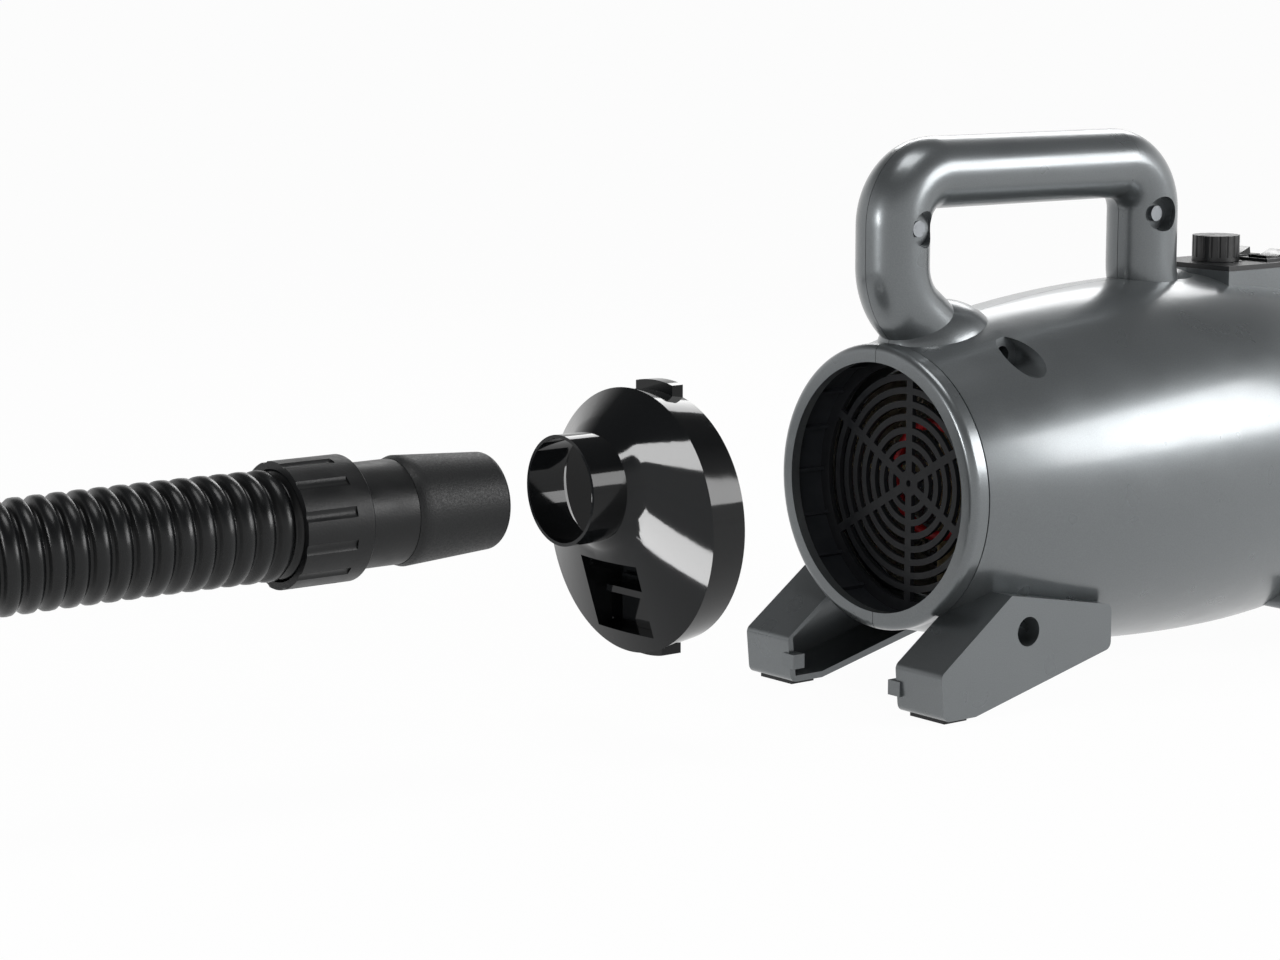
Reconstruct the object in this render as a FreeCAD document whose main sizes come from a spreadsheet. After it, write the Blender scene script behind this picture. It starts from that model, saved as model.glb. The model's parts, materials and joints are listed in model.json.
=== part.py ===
import FreeCAD, Part
import math
import os
import Sketcher
from FreeCAD import Placement, Rotation, Vector

# Pet dryer, laid out in line along X: hose end, front cover, blower casing.
# X runs from the hose towards the casing's tail, Z is up and Y is across.
# The pieces stand apart, as when the cover is taken off, on one air axis.

doc = FreeCAD.newDocument("pet_dryer")
sheet = doc.addObject("Spreadsheet::Sheet", "Sizes")

SIZES = {
    # Places along the air axis, counted from the casing's mouth
    "axis_height": 100.0,
    "cover_pull": 146.0,
    "hose_gap": 40.0,
    "seam_gap": 0.3,
    "fit_gap": 0.3,
    "run_gap": 0.05,
    # Outlet ring
    "mouth_r": 59.5,
    "ring_r": 68.0,
    "ring_back": 9.0,
    "bead_r": 4.0,
    "lip_depth": 5.0,
    "groove_r": 64.2,
    "groove_end": 27.0,
    "ring_neck_r": 66.9,
    "neck_length": 1.2,
    # Casing barrel
    "shell_wall": 3.0,
    "barrel_start_r": 67.6,
    "barrel_peak": 190.0,
    "barrel_r": 90.0,
    "barrel_arc": 700.0,
    "tail_end": 338.0,
    "tail_r": 64.0,
    "tail_arc": 430.0,
    "tail_wall": 12.0,
    "intake_r": 54.0,
    # Handle
    "foot_front": 40.0,
    "post_front": 10.0,
    "post_rear": 178.0,
    "foot_rear": 190.0,
    "knee_height": 90.0,
    "grip_height": 147.0,
    "root_height": 66.0,
    "top_bend": 24.0,
    "knee_bend": 30.0,
    "grip_width": 36.0,
    "grip_depth": 34.0,
    "grip_wall": 3.0,
    "root_place": 40.0,
    "root_drop": 62.0,
    "root_rear": 191.0,
    "root_rear_drop": 69.0,
    "root_long": 33.0,
    "root_wide": 25.0,
    "root_high": 25.0,
    # Legs
    "leg_inner": 38.0,
    "leg_outer": 69.0,
    "leg_wall": 3.0,
    "foot_reach": 18.0,
    "foot_length": 20.0,
    "foot_rise": 22.0,
    "crest_place": 24.0,
    "crest_drop": 44.0,
    "crest_fall": 12.0,
    "heel_place": 90.0,
    "heel_drop": 77.0,
    "leg_round": 4.0,
    "pad_thick": 2.0,
    "pad_margin": 4.0,
    "leg_pair": 316.0,
    "lug_side": 7.0,
    "lug_reach": 4.5,
    "lug_base": 9.5,
    # Screws and their wells
    "boss_r": 5.5,
    "boss_drop": 62.2,
    "well_r": 8.6,
    "core_r": 4.2,
    "shank_r": 1.8,
    "head_r": 3.8,
    "head_high": 2.6,
    "shank_length": 12.0,
    "screw_seat": 10.0,
    "front_screw": 52.0,
    "rear_screw": 292.0,
    "grip_screw": 122.0,
    "leg_screw": 35.0,
    "barrel_well": 31.0,
    "rear_well": 24.0,
    "grip_well": 10.0,
    "leg_well": 56.0,
    "leg_well_r": 7.0,
    "well_wall": 2.0,
    # Outlet liner and grille
    "liner_wall": 1.0,
    "liner_rib": 2.0,
    "rib_width": 1.6,
    "liner_ribs": 18,
    "grille_face": 22.0,
    "grille_thick": 2.4,
    "grille_field": 57.0,
    "grille_bars": 8,
    "bar_width": 3.1,
    "hub_r": 6.2,
    "hub_hole": 1.6,
    "spoke_width": 4.2,
    "spokes": 6,
    # Heater
    "duct_r": 56.0,
    "duct_wall": 0.8,
    "duct_start": 34.0,
    "duct_length": 82.0,
    "rib_ring": 3.0,
    "board_r": 42.0,
    "board_thick": 1.0,
    "board_start": 42.0,
    "board_length": 66.0,
    "ear_length": 5.0,
    "coil_wire_r": 0.7,
    "coil_turns": 9,
    "coil_margin": 8.0,
    "lead_ring_r": 27.0,
    "lead_r": 2.5,
    "cutout_side": 10.0,
    "cutout_thick": 5.0,
    # Motor and fan
    "shaft_r": 4.0,
    "shaft_start": 134.0,
    "shaft_end": 262.0,
    "motor_start": 140.0,
    "motor_length": 84.0,
    "motor_r": 43.0,
    "motor_wall": 2.0,
    "stator_inner": 27.0,
    "stack_start": 160.0,
    "stack_length": 44.0,
    "rotor_gap": 0.6,
    "commutator_r": 11.0,
    "commutator_start": 147.5,
    "commutator_length": 10.0,
    "brush_side": 6.0,
    "bearing_r": 11.0,
    "bearing_length": 7.0,
    "mount_start": 168.0,
    "mount_length": 10.0,
    "mount_r": 52.0,
    "case_start": 229.0,
    "case_length": 34.0,
    "case_r": 64.0,
    "case_wall": 2.0,
    "case_inlet": 26.0,
    "case_ring_r": 70.0,
    "case_ring_start": 238.0,
    "case_ring_length": 10.0,
    "wheel_r": 58.0,
    "wheel_start": 234.0,
    "wheel_width": 18.0,
    "wheel_plate": 1.6,
    "blades": 9,
    "blade_thick": 1.2,
    "nut_r": 8.0,
    "nut_high": 6.0,
    # Intake
    "guard_place": 314.0,
    "guard_thick": 2.4,
    "foam_thick": 12.0,
    "cap_r": 62.0,
    "cap_thick": 11.0,
    "cap_wall": 2.5,
    "cap_collar": 18.0,
    "cap_slots": 7,
    "slot_high": 5.0,
    # Controls
    "pod_start": 212.0,
    "pod_length": 62.0,
    "pod_half": 28.0,
    "pod_rise": 2.0,
    "pod_sink": 14.0,
    "pod_wall": 4.0,
    "panel_thick": 2.5,
    "knob_place": 233.0,
    "knob_r": 12.0,
    "knob_high": 13.0,
    "knob_grips": 18,
    "stem_r": 3.0,
    "pot_r": 8.0,
    "pot_high": 11.0,
    "rocker_place": 259.0,
    "rocker_side": 12.5,
    "rocker_half_x": 8.0,
    "rocker_half_y": 6.0,
    "rocker_high": 4.0,
    "rocker_tilt": -8.0,
    "rocker_pin_r": 1.2,
    "switch_lip": 1.5,
    "board_high": 1.6,
    "gland_place": 300.0,
    "gland_drop": 20.0,
    "gland_r": 8.0,
    "gland_sink": 1.0,
    "gland_deep": 27.8,
    "gland_hole": 3.6,
    "flange_sink": 12.0,
    "flange_r": 11.0,
    # Front cover
    "cover_r": 59.2,
    "skirt_end_r": 56.2,
    "skirt_depth": 20.0,
    "cover_wall": 2.4,
    "cone_depth": 15.0,
    "cone_end_r": 30.0,
    "spigot_rise": 17.0,
    "spigot_r": 24.5,
    "spigot_bore": 23.0,
    "flare_depth": 5.0,
    "spigot_reach": 38.0,
    "hook_half": 13.0,
    "hook_length": 6.0,
    "hook_r": 61.7,
    "recess_half": 20.0,
    "recess_top": 17.0,
    "recess_low": 50.0,
    "recess_floor": 12.0,
    "recess_wall": 2.0,
    "latch_half": 16.0,
    "latch_tab_half": 12.5,
    "latch_tab_high": 6.0,
    "latch_thick": 3.0,
    "latch_top": 27.0,
    "latch_foot": 48.0,
    "latch_lip": 34.0,
    "latch_lip_reach": 9.0,
    "spring_r": 1.45,
    "spring_wire": 0.25,
    "spring_turns": 7,
    # Hose end
    "cuff_length": 48.0,
    "cuff_r": 23.5,
    "cuff_nose_r": 21.0,
    "cuff_bore": 17.0,
    "cuff_round": 3.0,
    "sleeve_r": 22.3,
    "sleeve_length": 24.0,
    "sleeve_tail": 7.0,
    "sleeve_spigot": 20.0,
    "sleeve_grip_r": 19.0,
    "sleeve_bore": 16.5,
    "collar_r": 26.5,
    "collar_length": 33.0,
    "collar_flange": 8.0,
    "collar_lip": 1.0,
    "collar_grips": 12,
    "collar_grip_r": 4.0,
    # Hose
    "hose_r": 23.0,
    "hose_root_r": 20.6,
    "hose_bore": 19.4,
    "hose_pitch": 8.7,
    # Nozzle at the hose's far end
    "grip_tube_r": 21.0,
    "grip_tube_length": 90.0,
    "nozzle_r": 24.0,
    "nozzle_tip_r": 14.0,
    "nozzle_wall": 2.2,
    "nozzle_length": 80.0,
}


class Size:
    """A length together with the sheet expression that it comes from."""

    def __init__(self, value, text):
        self.value = float(value)
        self.text = text

    def join(self, other, sign, value, swap=False):
        text = other.text if isinstance(other, Size) else repr(float(other))
        first, second = (text, self.text) if swap else (self.text, text)
        return Size(value, "(%s %s %s)" % (first, sign, second))

    def __float__(self):
        return self.value

    def __add__(self, other):
        return self.join(other, "+", self.value + float(other))

    def __radd__(self, other):
        return self.join(other, "+", float(other) + self.value, True)

    def __sub__(self, other):
        return self.join(other, "-", self.value - float(other))

    def __rsub__(self, other):
        return self.join(other, "-", float(other) - self.value, True)

    def __mul__(self, other):
        return self.join(other, "*", self.value * float(other))

    def __rmul__(self, other):
        return self.join(other, "*", float(other) * self.value, True)

    def __truediv__(self, other):
        return self.join(other, "/", self.value / float(other))

    def __neg__(self):
        return Size(-self.value, "(0 - %s)" % self.text)


def size(name):
    """A named length from the sheet."""
    return Size(SIZES[name], "Sizes." + name)


def fill_sheet():
    for row, (name, value) in enumerate(SIZES.items(), start=1):
        sheet.set("A%d" % row, name)
        sheet.set("B%d" % row, str(value))
        sheet.setAlias("B%d" % row, name)
    doc.recompute()


def bind(thing, prop, length):
    """Ties one property of an object to its size."""
    if isinstance(length, Size):
        thing.setExpression(prop, length.text)
    else:
        thing.setExpression(prop, repr(float(length)))


def put(thing, x, y, z):
    """Ties an object's place to its sizes."""
    bind(thing, "Placement.Base.x", x)
    bind(thing, "Placement.Base.y", y)
    bind(thing, "Placement.Base.z", z)
    return thing


TURN = {
    "x": Rotation(Vector(0, 1, 0), 90),
    "y": Rotation(Vector(1, 0, 0), -90),
    "z": Rotation(),
}


def rod(name, x, length, radius, y=0.0, z=None, along="x"):
    """A cylinder that starts at x, y, z and runs along one axis."""
    thing = doc.addObject("Part::Cylinder", name)
    thing.Placement = Placement(Vector(), TURN[along])
    bind(thing, "Radius", radius)
    bind(thing, "Height", length)
    return put(thing, x, y, AXIS if z is None else z)


def taper(name, x, length, start_r, end_r, z=None):
    """A cone along X."""
    thing = doc.addObject("Part::Cone", name)
    thing.Placement = Placement(Vector(), TURN["x"])
    bind(thing, "Radius1", start_r)
    bind(thing, "Radius2", end_r)
    bind(thing, "Height", length)
    return put(thing, x, 0.0, AXIS if z is None else z)


def block(name, x, long, y, wide, z, high):
    """A box from its low corner and its three sides."""
    thing = doc.addObject("Part::Box", name)
    bind(thing, "Length", long)
    bind(thing, "Width", wide)
    bind(thing, "Height", high)
    return put(thing, x, y, z)


def fused(name, pieces):
    thing = doc.addObject("Part::MultiFuse", name)
    thing.Shapes = list(pieces)
    thing.Refine = True
    return thing


def cut(name, base, *tools):
    thing = doc.addObject("Part::Cut", name)
    thing.Base = base
    thing.Tool = tools[0] if len(tools) == 1 else fused(name + "_tools", tools)
    return thing


def common(name, *pieces):
    thing = doc.addObject("Part::MultiCommon", name)
    thing.Shapes = list(pieces)
    return thing


def ring(name, x, length, outer, inner, z=None):
    """A plain tube along X."""
    core = rod(name + "_bore", x - 1.0, length + 2.0, inner, z=z)
    return cut(name, rod(name + "_rim", x, length, outer, z=z), core)


def group(name, pieces):
    """Separate solids that share one node."""
    thing = doc.addObject("Part::Compound", name)
    thing.Links = list(pieces)
    return thing


def sketch_on_side(body, outline):
    """A closed outline in the XZ plane. A corner is (x, z) and an arc's end is (x, z, radius)."""
    sketch = body.newObject("Sketcher::SketchObject", body.Name + "_outline")
    side = [plane for plane in body.Origin.OriginFeatures if plane.Role == "XZ_Plane"][0]
    sketch.AttachmentSupport = (side, [""])
    sketch.MapMode = "FlatFace"
    count = len(outline)
    ends = []
    for i in range(count):
        here = Vector(float(outline[i][0]), float(outline[i][1]), 0)
        after = outline[(i + 1) % count]
        there = Vector(float(after[0]), float(after[1]), 0)
        if len(after) == 2:
            sketch.addGeometry(Part.LineSegment(here, there), False)
            ends.append((1, 2))
            continue
        radius = float(after[2])
        chord = there - here
        across = Vector(-chord.y, chord.x, 0).normalize()
        rise = abs(radius) - math.sqrt(radius * radius - chord.Length * chord.Length / 4)
        middle = (here + there) / 2 + across * math.copysign(rise, radius)
        arc = Part.Arc(here, middle, there)
        sketch.addGeometry(arc, False)
        ends.append((2, 1) if radius > 0 else (1, 2))
    for i in range(count):
        after = (i + 1) % count
        sketch.addConstraint(Sketcher.Constraint("Coincident", i, ends[i][1], after, ends[after][0]))
    for i in range(count):
        for kind, length in (("DistanceX", outline[i][0]), ("DistanceY", outline[i][1])):
            place = sketch.addConstraint(Sketcher.Constraint(kind, -1, 1, i, ends[i][0], float(length)))
            bind(sketch, "Constraints[%d]" % place, length)
        after = outline[(i + 1) % count]
        if len(after) == 3:
            reach = after[2] if float(after[2]) > 0 else -after[2]
            place = sketch.addConstraint(Sketcher.Constraint("Radius", i, float(reach)))
            bind(sketch, "Constraints[%d]" % place, reach)
    return sketch


def turned(name, outline, x, z=None):
    """A body of revolution about its own X axis."""
    body = doc.addObject("PartDesign::Body", name)
    sketch = sketch_on_side(body, outline)
    turn = body.newObject("PartDesign::Revolution", name + "_turn")
    turn.Profile = sketch
    turn.ReferenceAxis = (sketch, ["H_Axis"])
    turn.Angle = 360.0
    return put(body, x, 0.0, AXIS if z is None else z)


def slab(name, outline, x, y, wide, z):
    """A side outline made solid across Y."""
    body = doc.addObject("PartDesign::Body", name)
    sketch = sketch_on_side(body, outline)
    pad = body.newObject("PartDesign::Pad", name + "_pad")
    pad.Profile = sketch
    pad.Reversed = True
    bind(pad, "Length", wide)
    return put(body, x, y, z)


fill_sheet()
AXIS = size("axis_height")
CROWN = AXIS + size("barrel_r")
POD_TOP = CROWN + size("pod_rise")
POD_FLOOR = CROWN - size("pod_sink")
CAP_END = size("tail_end") + size("cap_thick")
MOUTH = (size("cover_pull") + size("spigot_reach") - CAP_END) / 2
COVER = MOUTH - size("cover_pull")
SPIGOT_AXIS = AXIS + size("spigot_rise")
NOSE = COVER - size("spigot_reach") - size("hose_gap")
NODES = {}


def node(name, thing):
    """Names a finished sub-part."""
    thing.Label = name
    NODES[name] = thing
    return thing


def spoke(name, x, long, start, reach, thick, angle):
    """A flat bar that stands out from the air axis at an angle."""
    turn = math.radians(angle)
    thing = doc.addObject("Part::Box", name)
    thing.Placement = Placement(Vector(), Rotation(Vector(1, 0, 0), angle))
    bind(thing, "Length", long)
    bind(thing, "Width", thick)
    bind(thing, "Height", reach)
    across = -(thick * (math.cos(turn) / 2)) - start * math.sin(turn)
    up = AXIS - thick * (math.sin(turn) / 2) + start * math.cos(turn)
    return put(thing, x, across, up)


def rounded_path(points, share=0.45, bends=None):
    """Straight runs joined by tangent arcs, with each arc's radius."""
    edges = []
    radii = []
    last = points[0]
    for i in range(1, len(points) - 1):
        back = points[i - 1] - points[i]
        on = points[i + 1] - points[i]
        half = (math.pi - back.getAngle(on)) / 2
        trim = min(back.Length, on.Length) * share
        if bends:
            trim = bends[i - 1] * math.tan(half)
        start = points[i] + back.normalize() * trim
        end = points[i] + on.normalize() * trim
        radius = trim / math.tan(half)
        inward = (back + on).normalize()
        middle = points[i] + inward * (radius / math.cos(half) - radius)
        edges.append(Part.LineSegment(last, start).toShape())
        edges.append(Part.Arc(start, middle, end).toShape())
        radii.append(radius)
        last = end
    edges.append(Part.LineSegment(last, points[-1]).toShape())
    return Part.Wire(edges), radii


def feature(name, shape):
    """A solid whose form is worked out here, where no plain feature gives it."""
    thing = doc.addObject("Part::Feature", name)
    thing.Shape = shape
    return thing


def swept_grip(wide, deep):
    """The handle's bar: an oval section carried along the arch."""
    corners = [
        (size("foot_front"), size("root_height")),
        (size("post_front"), size("knee_height")),
        (size("post_front"), size("grip_height")),
        (size("post_rear"), size("grip_height")),
        (size("post_rear"), size("knee_height")),
        (size("foot_rear"), size("root_height")),
    ]
    points = [Vector(float(MOUTH + x), 0, float(AXIS + z)) for x, z in corners]
    knee = float(size("knee_bend"))
    top = float(size("top_bend"))
    path, radii = rounded_path(points, bends=[knee, top, top, knee])
    across = Vector(0, 1, 0)
    along = (points[1] - points[0]).normalize()
    oval = Part.Ellipse(points[0] + across * float(wide) / 2,
                        points[0] + along.cross(across) * float(deep) / 2, points[0])
    return Part.Wire(path.Edges).makePipeShell([Part.Wire([oval.toShape()])], True, True)


def leg_outline(wall, behind):
    """A slanted leg seen from the side. The tail pair is the front pair turned about."""
    reach = size("foot_reach")
    floor = size("pad_thick")
    crest = AXIS - size("crest_drop")
    points = [
        (wall - reach, floor + wall),
        (wall - reach - 2.0, floor + size("foot_rise")),
        (size("crest_place") + wall, crest - wall),
        (size("heel_place") - wall, crest - size("crest_fall") - wall),
        (size("heel_place") - wall, AXIS - size("heel_drop") + wall),
        (size("foot_length") - reach, floor + wall),
    ]
    if not behind:
        return points
    return [(size("leg_pair") - x, z) for x, z in points]


def leg(name, behind, side):
    """One leg, hollow and open on its inner side."""
    inner = size("leg_inner")
    wide = size("leg_outer") - inner
    low = inner if side > 0 else -inner - wide
    outside = slab(name + "_form", leg_outline(Size(0, "0"), behind), MOUTH, low, wide, 0.0)
    deep = wide - size("leg_wall")
    start = inner - 1.0 if side > 0 else -inner - deep
    inside = slab(name + "_hollow", leg_outline(size("leg_wall"), behind), MOUTH, start, deep + 1.0, 0.0)
    return outside, inside


def soften(body, radius, pick):
    """Rounds the picked edges of a body's last feature."""
    doc.recompute()
    tip = body.Tip
    names = ["Edge%d" % i for i, edge in enumerate(tip.Shape.Edges, start=1) if pick(edge)]
    fillet = body.newObject("PartDesign::Fillet", body.Name + "_round")
    fillet.Base = (tip, names)
    bind(fillet, "Radius", radius)
    body.Tip = fillet
    doc.recompute()
    return body


def screw_places():
    """Name, place along X, height over the axis, well radius and the well's floor."""
    pair = size("leg_pair")
    drop = size("boss_drop")
    return [
        ("barrel_front", size("front_screw"), drop, size("well_r"), size("barrel_well")),
        ("barrel_rear", size("rear_screw"), drop, size("well_r"), size("rear_well")),
        ("grip_front", size("post_front") + 5.0, size("grip_screw"), size("well_r"), size("grip_well")),
        ("grip_rear", size("post_rear") - 3.0, size("grip_screw"), size("well_r"), size("grip_well")),
        ("leg_front", size("leg_screw"), -drop, size("leg_well_r"), size("leg_well")),
        ("leg_rear", pair - size("leg_screw"), -drop, size("leg_well_r"), size("leg_well")),
    ]


def casing():
    """Two half shells that meet on the upright mid-plane, each with half of the handle and two legs."""
    wall = size("shell_wall")
    ring_r = size("ring_r")
    bead = size("bead_r")
    neck = size("ring_back") + size("neck_length")
    tail = size("tail_end")
    barrel = turned("barrel_form", [
        (0.0, 0.0), (0.0, ring_r - bead), (bead, ring_r, bead), (size("ring_back"), ring_r),
        (size("ring_back"), size("ring_neck_r")), (neck, size("ring_neck_r")), (neck, size("barrel_start_r")),
        (size("barrel_peak"), size("barrel_r"), size("barrel_arc")), (tail, size("tail_r"), size("tail_arc")),
        (tail, 0.0)], MOUTH)
    back_wall = tail - size("tail_wall")
    air = turned("barrel_air", [
        (-1.0, 0.0), (-1.0, size("mouth_r")), (size("lip_depth"), size("mouth_r")),
        (size("lip_depth"), size("groove_r")), (size("groove_end"), size("groove_r")),
        (size("groove_end"), size("barrel_start_r")),
        (size("barrel_peak"), size("barrel_r") - wall, size("barrel_arc")),
        (back_wall, size("tail_r"), size("tail_arc")), (back_wall, size("intake_r")),
        (tail + 1.0, size("intake_r")), (tail + 1.0, 0.0)], MOUTH)
    grip = feature("grip_form", swept_grip(size("grip_width"), size("grip_depth")))
    thin = size("grip_wall") * 2
    grip_air = feature("grip_air", swept_grip(size("grip_width") - thin, size("grip_depth") - thin))
    roots = []
    for end, x, z in (("front", size("root_place"), size("root_drop")),
                      ("rear", size("root_rear"), size("root_rear_drop"))):
        root = doc.addObject("Part::Ellipsoid", "grip_root_" + end)
        bind(root, "Radius1", size("root_high"))
        bind(root, "Radius2", size("root_long"))
        bind(root, "Radius3", size("root_wide"))
        roots.append(put(root, MOUTH + x, 0.0, AXIS + z))
    forms = []
    hollow = []
    for end, behind in (("front", False), ("rear", True)):
        for side, sign in (("left", -1), ("right", 1)):
            outside, inside = leg("leg_%s_%s" % (end, side), behind, sign)
            top = float(AXIS - size("crest_drop")) - 1.0
            face = float(size("leg_outer"))

            def outer_edges(edge):
                box = edge.BoundBox
                on_face = abs(box.YMin - sign * face) < 0.01 and box.YLength < 0.01
                return (on_face or box.YLength > 1.0) and box.ZMin < top - 2.0 and box.ZMax < top + 3.0

            soften(outside, size("leg_round"), outer_edges)
            forms.append(outside)
            hollow.append(cut("leg_shell_%s_%s" % (end, side), outside, inside))
    half = size("pod_half")
    pod = block("pod_form", MOUTH + size("pod_start"), size("pod_length"), -half, half * 2,
                POD_FLOOR, POD_TOP - POD_FLOOR)
    grip_shell = cut("grip_shell", fused("grip_skin", [grip] + roots), grip_air)
    gland_x = MOUTH + size("gland_place")
    gland_z = AXIS - size("gland_drop")
    gland_y = size("barrel_r") - size("gland_deep")
    inlet = rod("gland_boss", gland_x, size("gland_deep") - size("flange_sink"), size("flange_r") + 1.0,
                gland_y, gland_z, "y")
    trunk = fused("casing_trunk", [barrel, pod, inlet])
    lugs = []
    lug = size("lug_side")
    for side, y in (("left", -size("leg_inner") - lug / 2), ("right", size("leg_inner") - size("lug_reach"))):
        lugs.append(block("leg_lug_" + side, MOUTH - size("foot_reach") - lug / 3, lug, y,
                          lug / 2 + size("lug_reach"), size("lug_base"), lug))
    shell = cut("casing_shell", trunk, air)
    seats = [
        ("grille", size("grille_face") + size("grille_thick") + 0.2, size("grille_field") + 2.0),
        ("duct_front", size("duct_start") + 5.0, size("duct_r") + size("fit_gap")),
        ("duct_rear", size("duct_start") + size("duct_length") - 9.0, size("duct_r") + size("fit_gap")),
        ("motor", size("mount_start") + 3.5, size("mount_r") + size("fit_gap")),
        ("fan", size("case_ring_start") + 3.5, size("case_ring_r") + size("fit_gap")),
        ("guard", size("guard_place") - size("rib_ring"), size("intake_r") - 2.0),
    ]
    ribs = [ring("rib_" + name, MOUTH + x, size("rib_ring"), size("barrel_r"), r) for name, x, r in seats]
    ribs = common("casing_ribs", fused("rib_rings", ribs), barrel)
    reach = size("barrel_r")
    limb_block = fused("limb_block", [grip] + forms)
    bosses = []
    wells = []
    cup = size("well_wall")
    seat = size("screw_seat")
    for name, x, z, well_r, floor in screw_places():
        place = MOUTH + x
        height = AXIS + z
        bosses.append(rod("boss_" + name, place, reach * 2, size("boss_r"), -reach, height, "y"))
        bosses.append(rod("cup_" + name, place, reach - floor + cup, well_r + cup, -reach, height, "y"))
        wells.append(rod("well_" + name, place, reach - floor, well_r, -reach, height, "y"))
        wells.append(rod("core_" + name, place, reach - seat, size("core_r"), -reach, height, "y"))
        wells.append(rod("shank_hole_" + name, place, size("shank_length") + cup * 2,
                         size("shank_r") + size("fit_gap"), -seat - cup, height, "y"))
    boss_rods = fused("boss_rods", bosses)
    bosses = common("casing_bosses", boss_rods, barrel)
    limb_bosses = common("limb_bosses", boss_rods, limb_block)
    edge = size("pod_wall")
    pocket = block("pod_pocket", MOUTH + size("pod_start") + edge, size("pod_length") - edge * 2, edge - half,
                   (half - edge) * 2, POD_FLOOR, POD_TOP - POD_FLOOR + 1.0)
    gland_hole = rod("gland_hole", gland_x, reach, size("gland_r") + size("fit_gap"), gland_y - 1.0,
                     gland_z, "y")
    shells = cut("casing_whole", fused("casing_ribbed", [shell, ribs, bosses]), pocket, gland_hole, *wells)
    limbs = cut("limbs_whole", fused("limb_skin", [grip_shell, limb_bosses] + lugs + hollow), trunk, *wells)
    gap = size("seam_gap") / 2
    span = size("tail_end") + size("foot_reach") * 4
    tall = AXIS + size("grip_height") + size("grip_depth")
    low = MOUTH - size("foot_reach") * 2
    for side, y in (("left", -reach - gap), ("right", gap)):
        for part, source, foot, high in (("casing_", shells, Size(0, "0"), tall),
                                         ("handle_", limbs, AXIS, tall - AXIS),
                                         ("legs_", limbs, Size(0, "0"), AXIS)):
            room = block("room_" + part + side, low, span, y, reach, foot, high)
            node(part + side, common(part + side, source, room))


def casing_fittings():
    """Screws in their wells and the rubber pads under the feet."""
    screws = []
    seat = -size("screw_seat")
    for name, x, z, well_r, floor in screw_places():
        place = MOUTH + x
        high = size("head_high")
        head = rod("head_" + name, place, high, size("head_r"), seat - high, AXIS + z, "y")
        shank = rod("shank_" + name, place, size("shank_length"), size("shank_r"), seat, AXIS + z, "y")
        screws.append(fused("screw_" + name, [head, shank]))
    node("casing_screws", group("casing_screws", screws))
    edge = size("pad_margin")
    long = size("foot_length") - edge * 1.5
    wide = size("leg_outer") - size("leg_inner") - edge * 2
    pads = []
    for end, x in (("front", edge - size("foot_reach")),
                   ("rear", size("leg_pair") + size("foot_reach") - edge - long)):
        for side, y in (("left", -size("leg_outer") + edge), ("right", size("leg_inner") + edge)):
            pads.append(block("pad_%s_%s" % (end, side), MOUTH + x, long, y, wide, 0.0, size("pad_thick")))
    node("foot_pads", group("foot_pads", pads))


def grille(name, x, thick, rim_r, field_r, bars, bar_width, hub_r, hub_hole, arms, arm_width):
    """Rings on spokes with a hub in the middle."""
    pieces = [ring(name + "_rim", x, thick, rim_r, field_r), rod(name + "_hub", x, thick, hub_r)]
    step = (field_r - hub_r) / bars
    for i in range(1, bars):
        outer = hub_r + step * i + bar_width / 2
        pieces.append(ring("%s_bar%d" % (name, i), x, thick, outer, outer - bar_width))
    for i in range(arms):
        reach = field_r + 1.0 - hub_r / 2
        pieces.append(spoke("%s_arm%d" % (name, i), x, thick, hub_r / 2, reach, arm_width, 360.0 / arms * i))
    hole = rod(name + "_hole", x - 1.0, thick + 2.0, hub_hole)
    return node(name, cut(name, fused(name + "_web", pieces), hole))


def outlet():
    """The dark liner behind the ring's lip, and the grille at its end."""
    start = MOUTH + size("lip_depth") + size("fit_gap")
    long = size("grille_face") - size("lip_depth") - size("fit_gap")
    outer = size("groove_r") - 0.2
    inner = outer - size("liner_wall")
    pieces = [ring("liner_tube", start, long, outer, inner)]
    count = int(SIZES["liner_ribs"])
    for i in range(count):
        angle = 360.0 / count * (i + 0.5)
        beside_hook = abs(math.sin(math.radians(angle))) * float(inner) < SIZES["hook_half"] + 2.0
        if not beside_hook:
            pieces.append(spoke("liner_rib%d" % i, start, long, inner - size("liner_rib"),
                                size("liner_rib") + size("liner_wall") / 2, size("rib_width"), angle))
    node("outlet_liner", fused("outlet_liner", pieces))
    grille("outlet_grille", MOUTH + size("grille_face"), size("grille_thick"), outer, size("grille_field"),
           int(SIZES["grille_bars"]), size("bar_width"), size("hub_r"), size("hub_hole"),
           int(SIZES["spokes"]), size("spoke_width"))


def winding(radius, wire_r, pitch, turns, place):
    """A wire wound along an axis, as quarter turns through points of the helix."""
    def point(quarter):
        turn = quarter * math.pi / 2
        return place(radius * math.cos(turn), radius * math.sin(turn), pitch * quarter / 4)

    edges = []
    for i in range(int(turns * 4)):
        edges.append(Part.Arc(point(i), point(i + 0.5), point(i + 1)).toShape())
    path = Part.Wire(edges)
    ahead = (point(0.01) - point(0)).normalize()
    section = Part.Wire([Part.makeCircle(wire_r, point(0), ahead)])
    marks = [place(radius * math.cos(i / 6.0), radius * math.sin(i / 6.0), pitch * i / 6.0 / (2 * math.pi))
             for i in range(int(turns * 12 * math.pi))]
    gap = min(marks[i].distanceToPoint(marks[j])
              for i in range(len(marks)) for j in range(i + 19, len(marks)))
    gap -= 2 * wire_r
    print("winding of %d turns: length %.1f mm, least gap to itself %.2f mm" % (turns, path.Length, gap))
    return path.makePipeShell([section], True, False)


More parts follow.
